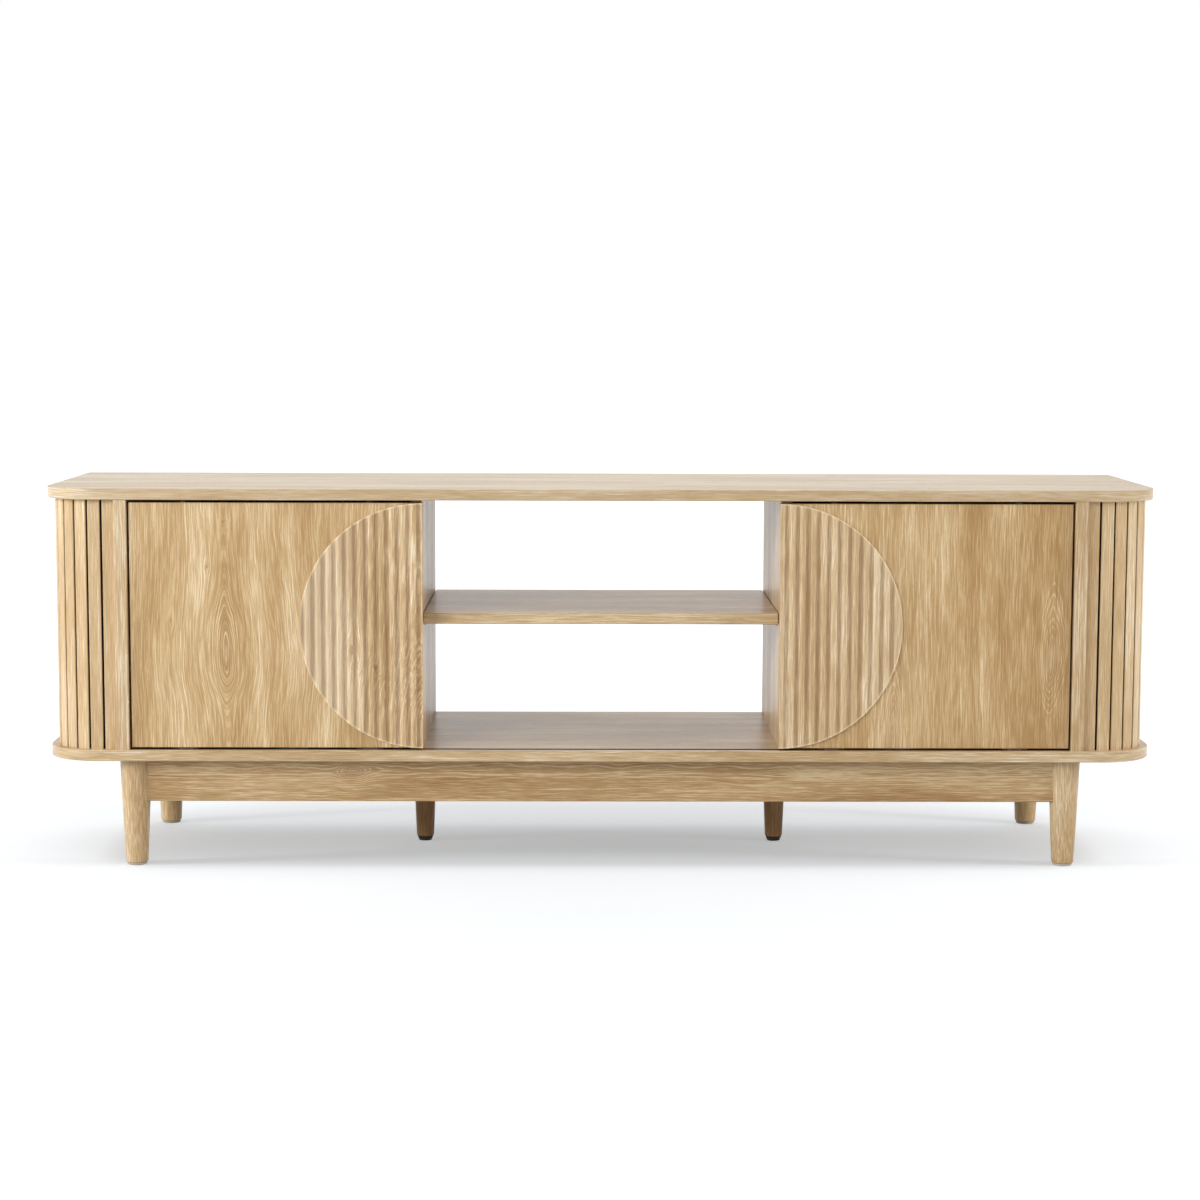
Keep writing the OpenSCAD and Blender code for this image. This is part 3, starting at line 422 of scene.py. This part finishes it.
def ring_field(finish, across, along, hearts):
    """A number whose level lines are the growth rings: straight lines that close round each heart."""
    field = across
    for index, heart in enumerate(hearts):
        distance = heart_distance(finish, across, along, heart)
        field = finish.maths("SMOOTH_MIN", field, distance, HEARTS_MERGE) if index else distance
    return field


def close_rings(finish, field, wobble):
    """The cream rings near a heart, close together inside and wider apart further out."""
    inner = finish.maths("DIVIDE", finish.maths("MINIMUM", field, CLOSE_RINGS_END), CLOSE_RING)
    outer = finish.maths("MAXIMUM", finish.maths("SUBTRACT", field, CLOSE_RINGS_END), 0.0)
    turns = finish.maths("ADD", inner, finish.maths("DIVIDE", outer, WIDE_RING))
    turns = finish.maths("ADD", turns, finish.around(wobble, 0.0, RING_WOBBLE))
    wave = finish.maths("SINE", finish.maths("MULTIPLY", turns, 2 * math.pi))
    return finish.maths("MULTIPLY", finish.between(wave, 0.35, 0.95), finish.between(field, *RINGS_FADE))


# %% Part the grain round a knot
KNOT_SHORTER = 0.45
KNOT_PULL = 0.9


def part_round_knots(finish, across, along, knots):
    """The grain's coordinate across, moved aside round each knot, and how much of a knot is there."""
    core = 0.0
    for centre_across, centre_along, reach in knots:
        u = finish.maths("SUBTRACT", across, centre_across)
        v = finish.maths("MULTIPLY", finish.maths("SUBTRACT", along, centre_along), KNOT_SHORTER)
        square = finish.maths("ADD", finish.maths("POWER", u, 2.0), finish.maths("POWER", v, 2.0))
        square = finish.maths("DIVIDE", square, reach * reach)
        pull = finish.maths("EXPONENT", finish.maths("MULTIPLY", square, -1.0))
        aside = finish.maths("MULTIPLY", finish.maths("MULTIPLY", u, pull), KNOT_PULL)
        across = finish.maths("SUBTRACT", across, aside)
        core = finish.maths("MAXIMUM", core, finish.between(square, 0.08, 0.01, 0.0, 0.7))
    return across, core


# %% [markdown]
# ### The print itself
#
# One number runs from deep tan, 0, to cream, 1. Bands set it slowly, streaks and fibres move it up and
# down, and the rings and lines lift it towards cream. A ramp turns the number into colours, dark pores are
# laid over it, and a tone of its own makes each board a little warmer or cooler than its neighbour. The
# fibres and pores also drive the gloss and a very shallow bump, as they do on embossed film.

# %% Mix the tones of the print
DRIFT_REACH, RIPPLE_REACH, STRAND_REACH = 0.030, 0.0045, 0.004
BAND_MIDDLE, BAND_REACH, STREAK_REACH = 0.36, 1.2, 0.22
PALE_FIBRE, DARK_FIBRE = 0.30, 0.20
RING_STRENGTH, LINE_LIFT, PORE_DARKENS = 1.4, 0.36, 0.30
print("fibres move the tone by", PALE_FIBRE, "up and", DARK_FIBRE, "down")


def drift_aside(finish, moved, wander):
    """How far the grain wanders off a straight line, and the fine ripple in it."""
    slow = finish.noise(finish.stretched(moved, DRIFT), 1.0)
    ripple = finish.noise(finish.stretched(moved, RIPPLE), 2.0)
    far = finish.around(slow, 0.0, DRIFT_REACH * wander)
    near = finish.around(ripple, 0.0, RIPPLE_REACH * wander)
    return finish.maths("ADD", far, near), ripple


def wood_tone(finish, band, streak, fibre, contrast):
    """Bands, streaks and fibres in one number."""
    value = finish.around(band, BAND_MIDDLE, BAND_REACH * contrast)
    value = finish.maths("ADD", value, finish.around(streak, 0.0, STREAK_REACH * contrast))
    value = finish.maths("ADD", value, finish.between(fibre, 0.54, 0.61, 0.0, PALE_FIBRE * contrast))
    return finish.maths("SUBTRACT", value, finish.between(fibre, 0.49, 0.40, 0.0, DARK_FIBRE * contrast))


# %% Print oak on a surface
def oak(finish, place, hearts=(), knots=(), tone=(1.0, 1.0, 1.0), contrast=1.0, lines=1.0, wander=1.0,
        shift=(0.0, 0.0, 0.0), roughness=0.45):
    """Oak for a place given as (across, through, along). A shift takes it from another part of the tree."""
    across, through, along = finish.apart(place)
    aside, ripple = drift_aside(finish, finish.moved(place, shift), wander)
    bent, core = finish.maths("ADD", across, aside), 0.0
    if knots:
        bent, core = part_round_knots(finish, bent, along, knots)
    field = ring_field(finish, bent, along, hearts)
    ringed = finish.moved(finish.vector(field, across if hearts else through, along), shift)
    strand = finish.maths("ADD", field if knots else across, finish.around(ripple, 0.0, STRAND_REACH))
    stranded = finish.moved(finish.vector(strand, through, along), shift)

    band = finish.noise(finish.stretched(ringed, BAND), 1.5)
    streak = finish.noise(finish.stretched(ringed, STREAK), 1.0)
    line = finish.noise(finish.stretched(ringed, LINE), 1.0)
    fibre = finish.noise(finish.stretched(stranded, FIBRE), 2.0, 0.55)
    pore = finish.noise(finish.stretched(stranded, PORE), 1.0)

    lined = finish.between(band, 0.42, 0.60, 0.3, 1.0)
    risen = finish.maths("MULTIPLY", finish.between(line, 0.555, 0.635), lined)
    if hearts:
        rings = finish.maths("MULTIPLY", close_rings(finish, field, ripple), RING_STRENGTH)
        risen = finish.maths("MAXIMUM", risen, rings)
        core = finish.maths("MAXIMUM", core, finish.between(field, 0.014, 0.004, 0.0, 0.35))
    risen = finish.maths("MULTIPLY", risen, finish.between(fibre, 0.36, 0.56, 0.4, 1.0))
    value = wood_tone(finish, band, streak, fibre, contrast)
    value = finish.maths("ADD", value, finish.maths("MULTIPLY", risen, LINE_LIFT * lines))
    colour = finish.ramp(value, ((0.0, OAK_DEEP), (0.36, OAK_TAN), (0.62, OAK_PALE), (1.0, OAK_CREAM)))
    dark = finish.between(pore, 0.62, 0.78, 0.0, PORE_DARKENS)
    colour = finish.mix(dark, colour, OAK_PORE)
    if hearts or knots:
        colour = finish.mix(finish.maths("MULTIPLY", core, 0.8), colour, OAK_KNOT)
    finish.put(finish.shader.inputs["Base Color"], finish.mix(1.0, colour, tone, "MULTIPLY"))
    gloss = finish.between(fibre, 0.2, 0.8, roughness + 0.05, roughness - 0.05)
    finish.put(finish.shader.inputs["Roughness"], gloss)
    relief = finish.maths("SUBTRACT", fibre, finish.maths("MULTIPLY", dark, 1.5))
    finish.put(finish.shader.inputs["Normal"], finish.bump(relief, 0.25, 0.0002))
    return finish


# %% Cover boards and panels
def board(name, along, **details):
    """Oak whose grain runs along one axis."""
    finish = Finish(name)
    return oak(finish, grain_place(finish, along), **details)


def panel(name, **details):
    """Oak for a panel with round front corners."""
    finish = Finish(name)
    return oak(finish, banded_place(finish), **details)


def dress(finish, *names):
    """Give a finish to the parts with these names."""
    for name in names:
        nodes[name].material_slots[0].material = finish.material
    print(finish.material.name, "on", ", ".join(names))


# %% [markdown]
# ## The doors
#
# Each door is one flat panel whose print has hearts of its own. A heart's place is written as a share of the
# door's width and height, so that it stays on the board if the cabinet is made wider. The right door's print
# is browner than the left one's, and its cream lines are weaker.

# %% Dress the doors
def on_door(name, share_across, share_up, *sizes):
    """A place at shares of a door's width and height, with the sizes that follow it."""
    low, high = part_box(name)
    across = low.x + share_across * (high.x - low.x)
    up = low.z + share_up * (high.z - low.z)
    return (across, up, *sizes)


left_hearts = [on_door("left_door_panel", 0.322, 0.375, 0.021, 0.058)]
left_knots = [
    on_door("left_door_panel", 0.263, 0.74, 0.006),
    on_door("left_door_panel", 0.14, 0.52, 0.007),
]
right_hearts = [
    on_door("right_door_panel", 0.94, 0.36, 0.022, 0.070),
    on_door("right_door_panel", 0.385, 0.02, 0.022, 0.080),
]
right_details = {"shift": (0.7, 0.0, 0.0), "lines": 0.8, "tone": (0.93, 0.89, 0.83)}
dress(board("oak_left_door", "Z", hearts=left_hearts, knots=left_knots), "left_door_panel")
dress(board("oak_right_door", "Z", hearts=right_hearts, **right_details), "right_door_panel")

# %% [markdown]
# ## The fluted half discs
#
# Each door carries half of a round disc, and the halves come together when both doors are slid to the
# middle. The flutes are cut in the solid, but light from all round fills grooves as shallow as these, so
# painted shade darkens the print with depth as well, and a little on the tops of the ridges, which catch
# less of the side light than the flanks. An ambient occlusion node could do the depth part too, but it is
# slower, and here the depth is known. The softened rim gets a painted cream highlight, and the print pales
# away from the straight edge.

# %% Shade the flutes
FLUTE_DEPTH = 0.003
FLUTE_SHADE = (0.62, 0.55, 0.48)
FLUTE_PALE = srgb(226, 210, 184)
PALE_FROM_CUT = (0.06, 0.15)

disc_low, disc_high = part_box("left_door_disc")
DISC_R = (disc_high.z - disc_low.z) / 2
RIM_HIGHLIGHT_BAND = (DISC_R - 0.0030, DISC_R - 0.0010)
DISC_MIDDLE = (disc_low.z + disc_high.z) / 2
DISC_FRONT = disc_low.y
DISC_VALLEY = DISC_FRONT + FLUTE_DEPTH
FLUTE_SHADE_STARTS = DISC_FRONT + 0.0008
RIDGE_SHADE_ENDS = DISC_FRONT + 0.0010
print("the disc's radius is", round(DISC_R * 1000, 1), "mm and its middle is", round(DISC_MIDDLE, 3), "m up")


def fluted(name, cut_x, pale, **details):
    """Oak with painted shade in the flutes, a painted rim highlight, and paler far from the straight edge.
    """
    finish = board(name, "Z", **details)
    x, y, z = object_place(finish)
    u = finish.maths("SUBTRACT", x, cut_x)
    v = finish.maths("SUBTRACT", z, DISC_MIDDLE)
    # Painted highlight: a cream band along the soft rim.
    rim_highlight = finish.between(from_middle(finish, u, v), *RIM_HIGHLIGHT_BAND, 0.0, 0.55)
    # Painted shade: darker down in the flutes, and a little on the ridges' tops.
    valley_shade = finish.between(y, FLUTE_SHADE_STARTS, DISC_VALLEY, 0.0, 0.85)
    ridge_shade = finish.between(y, RIDGE_SHADE_ENDS, DISC_FRONT, 0.0, 0.22)
    far = finish.between(finish.maths("ABSOLUTE", u), *PALE_FROM_CUT, *pale)
    colour = finish.mix(far, base_colour(finish), FLUTE_PALE)
    colour = finish.mix(finish.maths("ADD", valley_shade, ridge_shade), colour, FLUTE_SHADE, "MULTIPLY")
    finish.put(finish.shader.inputs["Base Color"], finish.mix(rim_highlight, colour, OAK_CREAM))
    return finish


# %% Dress the half discs
left_cut = disc_high.x
right_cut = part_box("right_door_disc")[0].x
disc_details = {"contrast": 1.2, "wander": 1.6, "roughness": 0.5}
left_disc_hearts = [(left_cut, DISC_MIDDLE - 0.167, 0.042, 0.080)]
left_disc_knots = [
    (left_cut - 0.094, DISC_MIDDLE - 0.034, 0.016),
    (left_cut - 0.063, DISC_MIDDLE - 0.060, 0.012),
]
left_disc = fluted(
    "oak_left_disc", left_cut, (0.05, 0.45), hearts=left_disc_hearts, knots=left_disc_knots,
    tone=(1.08, 1.10, 1.17), shift=(0.2, 0.0, 0.4), **disc_details,
)
right_disc = fluted(
    "oak_right_disc", right_cut, (0.12, 0.20), tone=(1.16, 1.22, 1.36), shift=(0.6, 0.0, 1.4), **disc_details
)
dress(left_disc, "left_door_disc")
dress(right_disc, "right_door_disc")

# %% [markdown]
# ## The boards
#
# All boards share one print, but a shift takes each of them from another part of the tree, so that no two
# neighbours repeat each other. Their tones differ a little too, because film is printed in batches. The
# lying boards have a straighter grain and a little more gloss than the standing ones.

# %% Dress the lying boards
lying = {"wander": 0.4, "roughness": 0.30}
top = panel("oak_top", tone=(0.95, 1.03, 1.23), contrast=0.75, shift=(0.3, 0.0, 3.0), **lying)
bottom = panel("oak_bottom", tone=(0.92, 0.95, 1.04), shift=(0.9, 0.0, 7.0), **lying)
shelf = board("oak_shelf", "X", tone=(0.93, 0.93, 0.93), shift=(6.0, 0.0, 2.0), **lying)
dress(top, "top_panel")
dress(bottom, "bottom_panel")
dress(shelf, "centre_shelf", "left_shelf", "right_shelf")

# %% Dress the standing boards
sides = board("oak_sides", "Z", tone=(0.93, 0.95, 1.04), shift=(4.0, 0.0, 1.0), wander=0.5)
inner = board("oak_inner", "Z", shift=(2.0, 0.0, 5.0), wander=0.5, roughness=0.38)
back = board("oak_back", "Z", shift=(8.0, 0.0, 3.0))
dress(sides, "left_side_panel", "right_side_panel", "left_end_board", "right_end_board")
dress(inner, "left_partition", "right_partition")
dress(back, "left_back_panel", "right_back_panel")

# %% [markdown]
# ## The frame
#
# The rails and legs are covered with the same kind of film. Their tones carry painted light and shade: the
# rails are painted browner and darker than the legs, as the shade under the bottom board, the rear legs are
# painted a little paler than the front ones, as light, and the two legs in the middle are painted dark, as
# the shade deep under the cabinet. A lamp could make some of that difference, but only from one side, so
# each of them has a tone in its own finish.

# %% Dress the rails
rail_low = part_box("front_rail")[0]
rail_hearts = [(rail_low.z + 0.047, rail_low.x + 0.301, 0.014, 0.018)]
# The rails' darker, browner tone is painted shade, as under the bottom board.
rail_print_and_shade = {"tone": (0.76, 0.70, 0.62), "contrast": 1.2, "lines": 1.6}
painted_shade_rail = board("oak_rail_painted_shade", "X", hearts=rail_hearts, shift=(1.0, 0.0, 9.0), **rail_print_and_shade)
side_rail = board("oak_side_rail", "Y", shift=(1.0, 2.0, 9.0))
dress(painted_shade_rail, "front_rail", "rear_rail")
dress(side_rail, "left_side_rail", "right_side_rail", "left_cross_rail", "right_cross_rail")

# %% Dress the legs
leg_details = {"shift": (5.0, 1.0, 0.0), "wander": 0.4}
front_leg = board("oak_leg_print", "Z", tone=(0.96, 0.99, 1.08), lines=0.6, **leg_details)
# The rear legs' paler tone is painted light.
painted_light_rear_leg = board("oak_rear_leg_painted_light", "Z", tone=(1.09, 1.11, 1.16), lines=0.6, **leg_details)
# The middle legs' dark tone is painted shade, from deep under the cabinet.
mid_leg = board("painted_shade_leg_print", "Z", tone=(0.58, 0.45, 0.29), **leg_details)
dress(front_leg, "front_left_leg", "front_right_leg")
dress(painted_light_rear_leg, "rear_left_leg", "rear_right_leg")
dress(mid_leg, "left_mid_leg", "right_mid_leg")

# %% [markdown]
# ## The slats
#
# On the real cabinet each slat is a strip of its own, while here the slats of one end are a single piece, so
# the finish has to tell them apart. The length along the outline, divided by the slats' pitch and rounded
# down, gives every slat a number. White noise turns that number into a tone, and the number also moves the
# grain. Painted shade darkens the sides of the slats with depth, because hardly any light reaches down into
# the gaps.

# %% Dress the slats
SLAT_PITCH = 0.0207
OTHER_END = 20.0
GRAIN_STEP = 0.37
SLAT_TONE, SLAT_SPREAD = 0.98, 0.08
# Painted shade on the slats' sides: from the first depth to the second, down to this tone.
GAP_SHADE_DEPTHS = (0.0007, 0.0026)
GAP_SHADE_TONE = 0.05

slat_low, slat_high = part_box("right_slats")
slat_line_r = CORNER_R - (top_high.x - slat_high.x)
print("slats' faces turn with a radius of", round(slat_line_r * 1000, 1), "mm")


def slatted(name):
    """Oak for the slats: each has a tone and a grain of its own, and painted shade darkens its sides in the
    gaps.
    """
    finish = Finish(name)
    x, y, z = object_place(finish)
    length, depth = round_place(finish, x, y, slat_line_r)
    length = finish.maths("SUBTRACT", length, slat_low.x)
    slat = finish.maths("FLOOR", finish.maths("DIVIDE", length, SLAT_PITCH))
    slat = finish.maths("ADD", slat, finish.maths("MULTIPLY", finish.maths("SIGN", x), OTHER_END))
    across = finish.maths("MULTIPLY_ADD", slat, GRAIN_STEP, length)
    grain = finish.vector(across, depth, z)
    oak(finish, grain, tone=(1.07, 1.12, 1.26), contrast=0.7, wander=0.5, shift=(3.0, 1.0, 0.0))
    own = finish.add("ShaderNodeTexWhiteNoise", {"W": slat}, noise_dimensions="1D").outputs[0]
    tone_and_gap_shade = finish.maths("MULTIPLY_ADD", own, SLAT_SPREAD, SLAT_TONE)
    # Painted shade: the sides get darker with depth down in the gaps.
    tone_and_gap_shade = finish.maths("MULTIPLY", tone_and_gap_shade, finish.between(depth, *GAP_SHADE_DEPTHS, 1.0, GAP_SHADE_TONE))
    grey = finish.add("ShaderNodeCombineColor", (tone_and_gap_shade, tone_and_gap_shade, tone_and_gap_shade)).outputs[0]
    colour = finish.mix(1.0, base_colour(finish), grey, "MULTIPLY")
    finish.put(finish.shader.inputs["Base Color"], colour)
    return finish


dress(slatted("oak_slat_print_and_gap_shade"), "left_slats", "right_slats")

# %% [markdown]
# ## The fittings
#
# The small parts are zinc-plated steel, moulded plastic, nylon, beech and dark pressed board. On a real part
# each of these shows its own small unevenness, and a plain colour would look like a drawing. Each finish
# therefore has one noise for the skin, which also drives the bump, and one or two slower ones for the tone.
#
# ### Moulded plastic
#
# The mould is eroded with sparks, which leaves the plastic a fine dull skin. The melt leaves slow flow marks
# in its tone, and places that are touched or slid over rub paler and rougher. The tracks are rubbed along
# their length only, so their rubbing noise is stretched that way.

# %% Mould plastic
FLOW = (60.0, 60.0, 60.0)
ERODED_SKIN = (1600.0, 1600.0, 1600.0)
RUBBED_SIDEWAYS = (3.0, 1400.0, 1400.0)


def shades(colour, darker, paler):
    """The same colour, twice: a little darker and a little paler."""
    return tuple(c * darker for c in colour), tuple(min(c * paler, 1.0) for c in colour)


def moulded(name, colour, roughness, rub=(0.55, 0.50, 0.45), rubbed=0.22, scale=(900.0, 160.0, 90.0)):
    """Plastic with an eroded skin, slow flow marks in its tone and paler rubbed places."""
    finish = Finish(name)
    place = finish.add("ShaderNodeTexCoord").outputs["Object"]
    flow = finish.noise(finish.stretched(place, FLOW), 2.0)
    skin = finish.noise(finish.stretched(place, ERODED_SKIN), 2.0, 0.6)
    scuff = finish.noise(finish.stretched(place, scale), 3.0, 0.6)
    darker, paler = shades(colour, 0.82, 1.25)
    tone = finish.ramp(finish.around(flow, 0.5, 1.6), ((0.0, darker), (0.5, colour), (1.0, paler)))
    worn = finish.between(scuff, 0.60, 0.72, 0.0, rubbed)
    finish.put(finish.shader.inputs["Base Color"], finish.mix(worn, tone, rub))
    rough = finish.maths("ADD", finish.around(skin, roughness, 0.16), finish.maths("MULTIPLY", worn, 0.5))
    finish.put(finish.shader.inputs["Roughness"], rough)
    relief = finish.maths("SUBTRACT", skin, worn)
    finish.put(finish.shader.inputs["Normal"], finish.bump(relief, 0.3, 0.0002))
    return finish


brown_plastic = moulded("brown_fitting_plastic", srgb(58, 44, 34), 0.48)
black_plastic = moulded("track_black_plastic", srgb(24, 19, 17), 0.55, rubbed=0.10, scale=RUBBED_SIDEWAYS)
grey_plastic = moulded("glide_grey_plastic", srgb(178, 172, 162), 0.6, rub=(0.16, 0.13, 0.10))
for side in ("left", "right"):
    dress(brown_plastic, f"{side}_roller_housings", f"{side}_guide_barrels")
    dress(brown_plastic, f"{side}_inner_guide_pin", f"{side}_outer_guide_pin")
dress(black_plastic, "lower_track", "upper_track")
dress(grey_plastic, "leg_glides")

# %% [markdown]
# ### Nylon rollers
#
# The rollers are pale nylon, which is slightly waxy. Only the rim touches the track, so the dirt sits there:
# the colour turns grey over the last one and a half millimetres of the radius. Every roller needs a finish
# of its own, because that radius is measured from its own middle.

# %% Dress the rollers
RIM_STARTS, RIM_GREY = 0.0016, 0.0002


def nylon(name, node):
    """Cream nylon whose rim is greyed by the track it runs in."""
    finish = moulded(name, srgb(222, 216, 200), 0.38, rub=(0.45, 0.40, 0.33), rubbed=0.15)
    x, y, z = object_place(finish)
    low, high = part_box(node)
    radius = (high.x - low.x) / 2
    u = finish.maths("SUBTRACT", x, (low.x + high.x) / 2)
    v = finish.maths("SUBTRACT", z, (low.z + high.z) / 2)
    grey = finish.between(from_middle(finish, u, v), radius - RIM_STARTS, radius - RIM_GREY, 0.0, 0.45)
    colour = finish.mix(grey, base_colour(finish), srgb(120, 108, 92))
    finish.put(finish.shader.inputs["Base Color"], colour)
    return finish


for side in ("left", "right"):
    for end in ("inner", "outer"):
        dress(nylon(f"{side}_{end}_nylon", f"{side}_{end}_roller"), f"{side}_{end}_roller")

# %% [markdown]
# ### Plated steel
#
# Zinc grows in small crystals, so a plated screw shows a spangle: cells that differ a little in tone and in
# gloss. A Voronoi texture gives such cells directly. Fine scratches go into the bump, and slow noise leaves
# dull patches. The pins under the shelves are nickel, which is darker and has a finer spangle.

# %% Plate the steel
SCRATCH = (2600.0, 2600.0, 120.0)
DULL_PATCH = (110.0, 110.0, 110.0)


def plated(name, colour, roughness, spangle=520.0):
    """Metal with a fine spangle in its tone and gloss, thin scratches and a few dull patches."""
    finish = Finish(name)
    place = finish.add("ShaderNodeTexCoord").outputs["Object"]
    cells = finish.add("ShaderNodeTexVoronoi", {"Vector": place, "Scale": spangle}).outputs["Color"]
    cell = finish.apart(cells)[0]
    scratch = finish.noise(finish.stretched(place, SCRATCH), 2.0, 0.6)
    dull = finish.noise(finish.stretched(place, DULL_PATCH), 3.0, 0.6)
    darker, paler = shades(colour, 0.84, 1.15)
    tone = finish.ramp(cell, ((0.0, darker), (0.5, colour), (1.0, paler)))
    patch = finish.between(dull, 0.55, 0.72, 0.0, 0.35)
    finish.put(finish.shader.inputs["Base Color"], finish.mix(patch, tone, darker))
    rough = finish.maths("ADD", finish.around(cell, roughness, 0.10), finish.maths("MULTIPLY", patch, 0.6))
    finish.put(finish.shader.inputs["Roughness"], rough)
    finish.put(finish.shader.inputs["Normal"], finish.bump(scratch, 0.15, 0.0001))
    finish.shader.inputs["Metallic"].default_value = 1.0
    return finish


zinc = plated("zinc_plating", srgb(196, 197, 200), 0.34)
nickel = plated("pin_nickel", srgb(168, 165, 160), 0.30, spangle=900.0)
dress(zinc, "cam_locks", "cam_bolts", "leg_bolts", "frame_screws", "foot_inserts")
dress(zinc, "left_roller_axles", "right_roller_axles")
dress(nickel, "shelf_pins")

# %% [markdown]
# ### Levelling feet
#
# A levelling foot is a plated stem with a dark plastic pad moulded on its end. It moves as one piece, so one
# finish covers both and switches from plastic to metal just above the pad.

# %% Dress the levelling feet
PLASTIC_ENDS = 0.0075
SWITCH_WITHIN = 0.0001


def footed(name, split):
    """Black plastic up to a height, and plated steel above it."""
    finish = moulded(name, srgb(16, 13, 9), 0.6, rub=(0.20, 0.18, 0.15))
    z = object_place(finish)[2]
    stem = finish.between(z, split - SWITCH_WITHIN, split + SWITCH_WITHIN)
    colour = finish.mix(stem, base_colour(finish), srgb(170, 171, 174))
    finish.put(finish.shader.inputs["Base Color"], colour)
    finish.put(finish.shader.inputs["Metallic"], stem)
    return finish


dress(footed("levelling_foot_plastic", PLASTIC_ENDS), "left_levelling_foot", "right_levelling_foot")

# %% [markdown]
# ### Pressed board and plain wood
#
# The boards behind the slats are dark pressed board, which is a felt of tiny chips: a fast noise sets the
# chips and a slow one the cloudy tone. The dowels and corner blocks are plain wood, and the oak print with
# other tones is close enough for parts that hardly show.

# %% Dress the pressed board and the plain wood
CHIP = (900.0, 900.0, 320.0)
CLOUD = (26.0, 26.0, 18.0)


def felted(name, colour, chip, roughness):
    """Pressed board: a felt of small chips in two browns."""
    finish = Finish(name)
    place = finish.add("ShaderNodeTexCoord").outputs["Object"]
    chips = finish.noise(finish.stretched(place, CHIP), 3.0, 0.65)
    cloud = finish.noise(finish.stretched(place, CLOUD), 2.0)
    darker, paler = shades(colour, 0.75, 1.3)
    tone = finish.ramp(finish.around(cloud, 0.5, 1.5), ((0.0, darker), (1.0, paler)))
    chipped = finish.mix(finish.between(chips, 0.52, 0.66, 0.0, 0.6), tone, chip)
    finish.put(finish.shader.inputs["Base Color"], chipped)
    finish.put(finish.shader.inputs["Roughness"], finish.around(chips, roughness, 0.2))
    finish.put(finish.shader.inputs["Normal"], finish.bump(chips, 0.35, 0.0003))
    return finish


backing = felted("dark_pressed_board", srgb(18, 13, 11), srgb(34, 26, 21), 0.75)
beech = board("beech_dowel", "X", tone=(1.06, 1.0, 0.92), contrast=0.7, lines=0.3, shift=(11.0, 0.0, 0.0))
block_wood = board("plain_block_wood", "Z", tone=(1.02, 0.96, 0.82), contrast=1.3, shift=(12.0, 0.0, 0.0))
dress(backing, "left_slat_backing", "right_slat_backing")
dress(beech, "panel_dowels")
dress(block_wood, "corner_blocks")

# %% Count the finished parts
materials = [node.material_slots[0].material for node in nodes.values()]
finished = sum(material.node_tree.nodes.get("Bump") is not None for material in materials)
print("finished nodes:", finished, "of", len(nodes))

# %% [markdown]
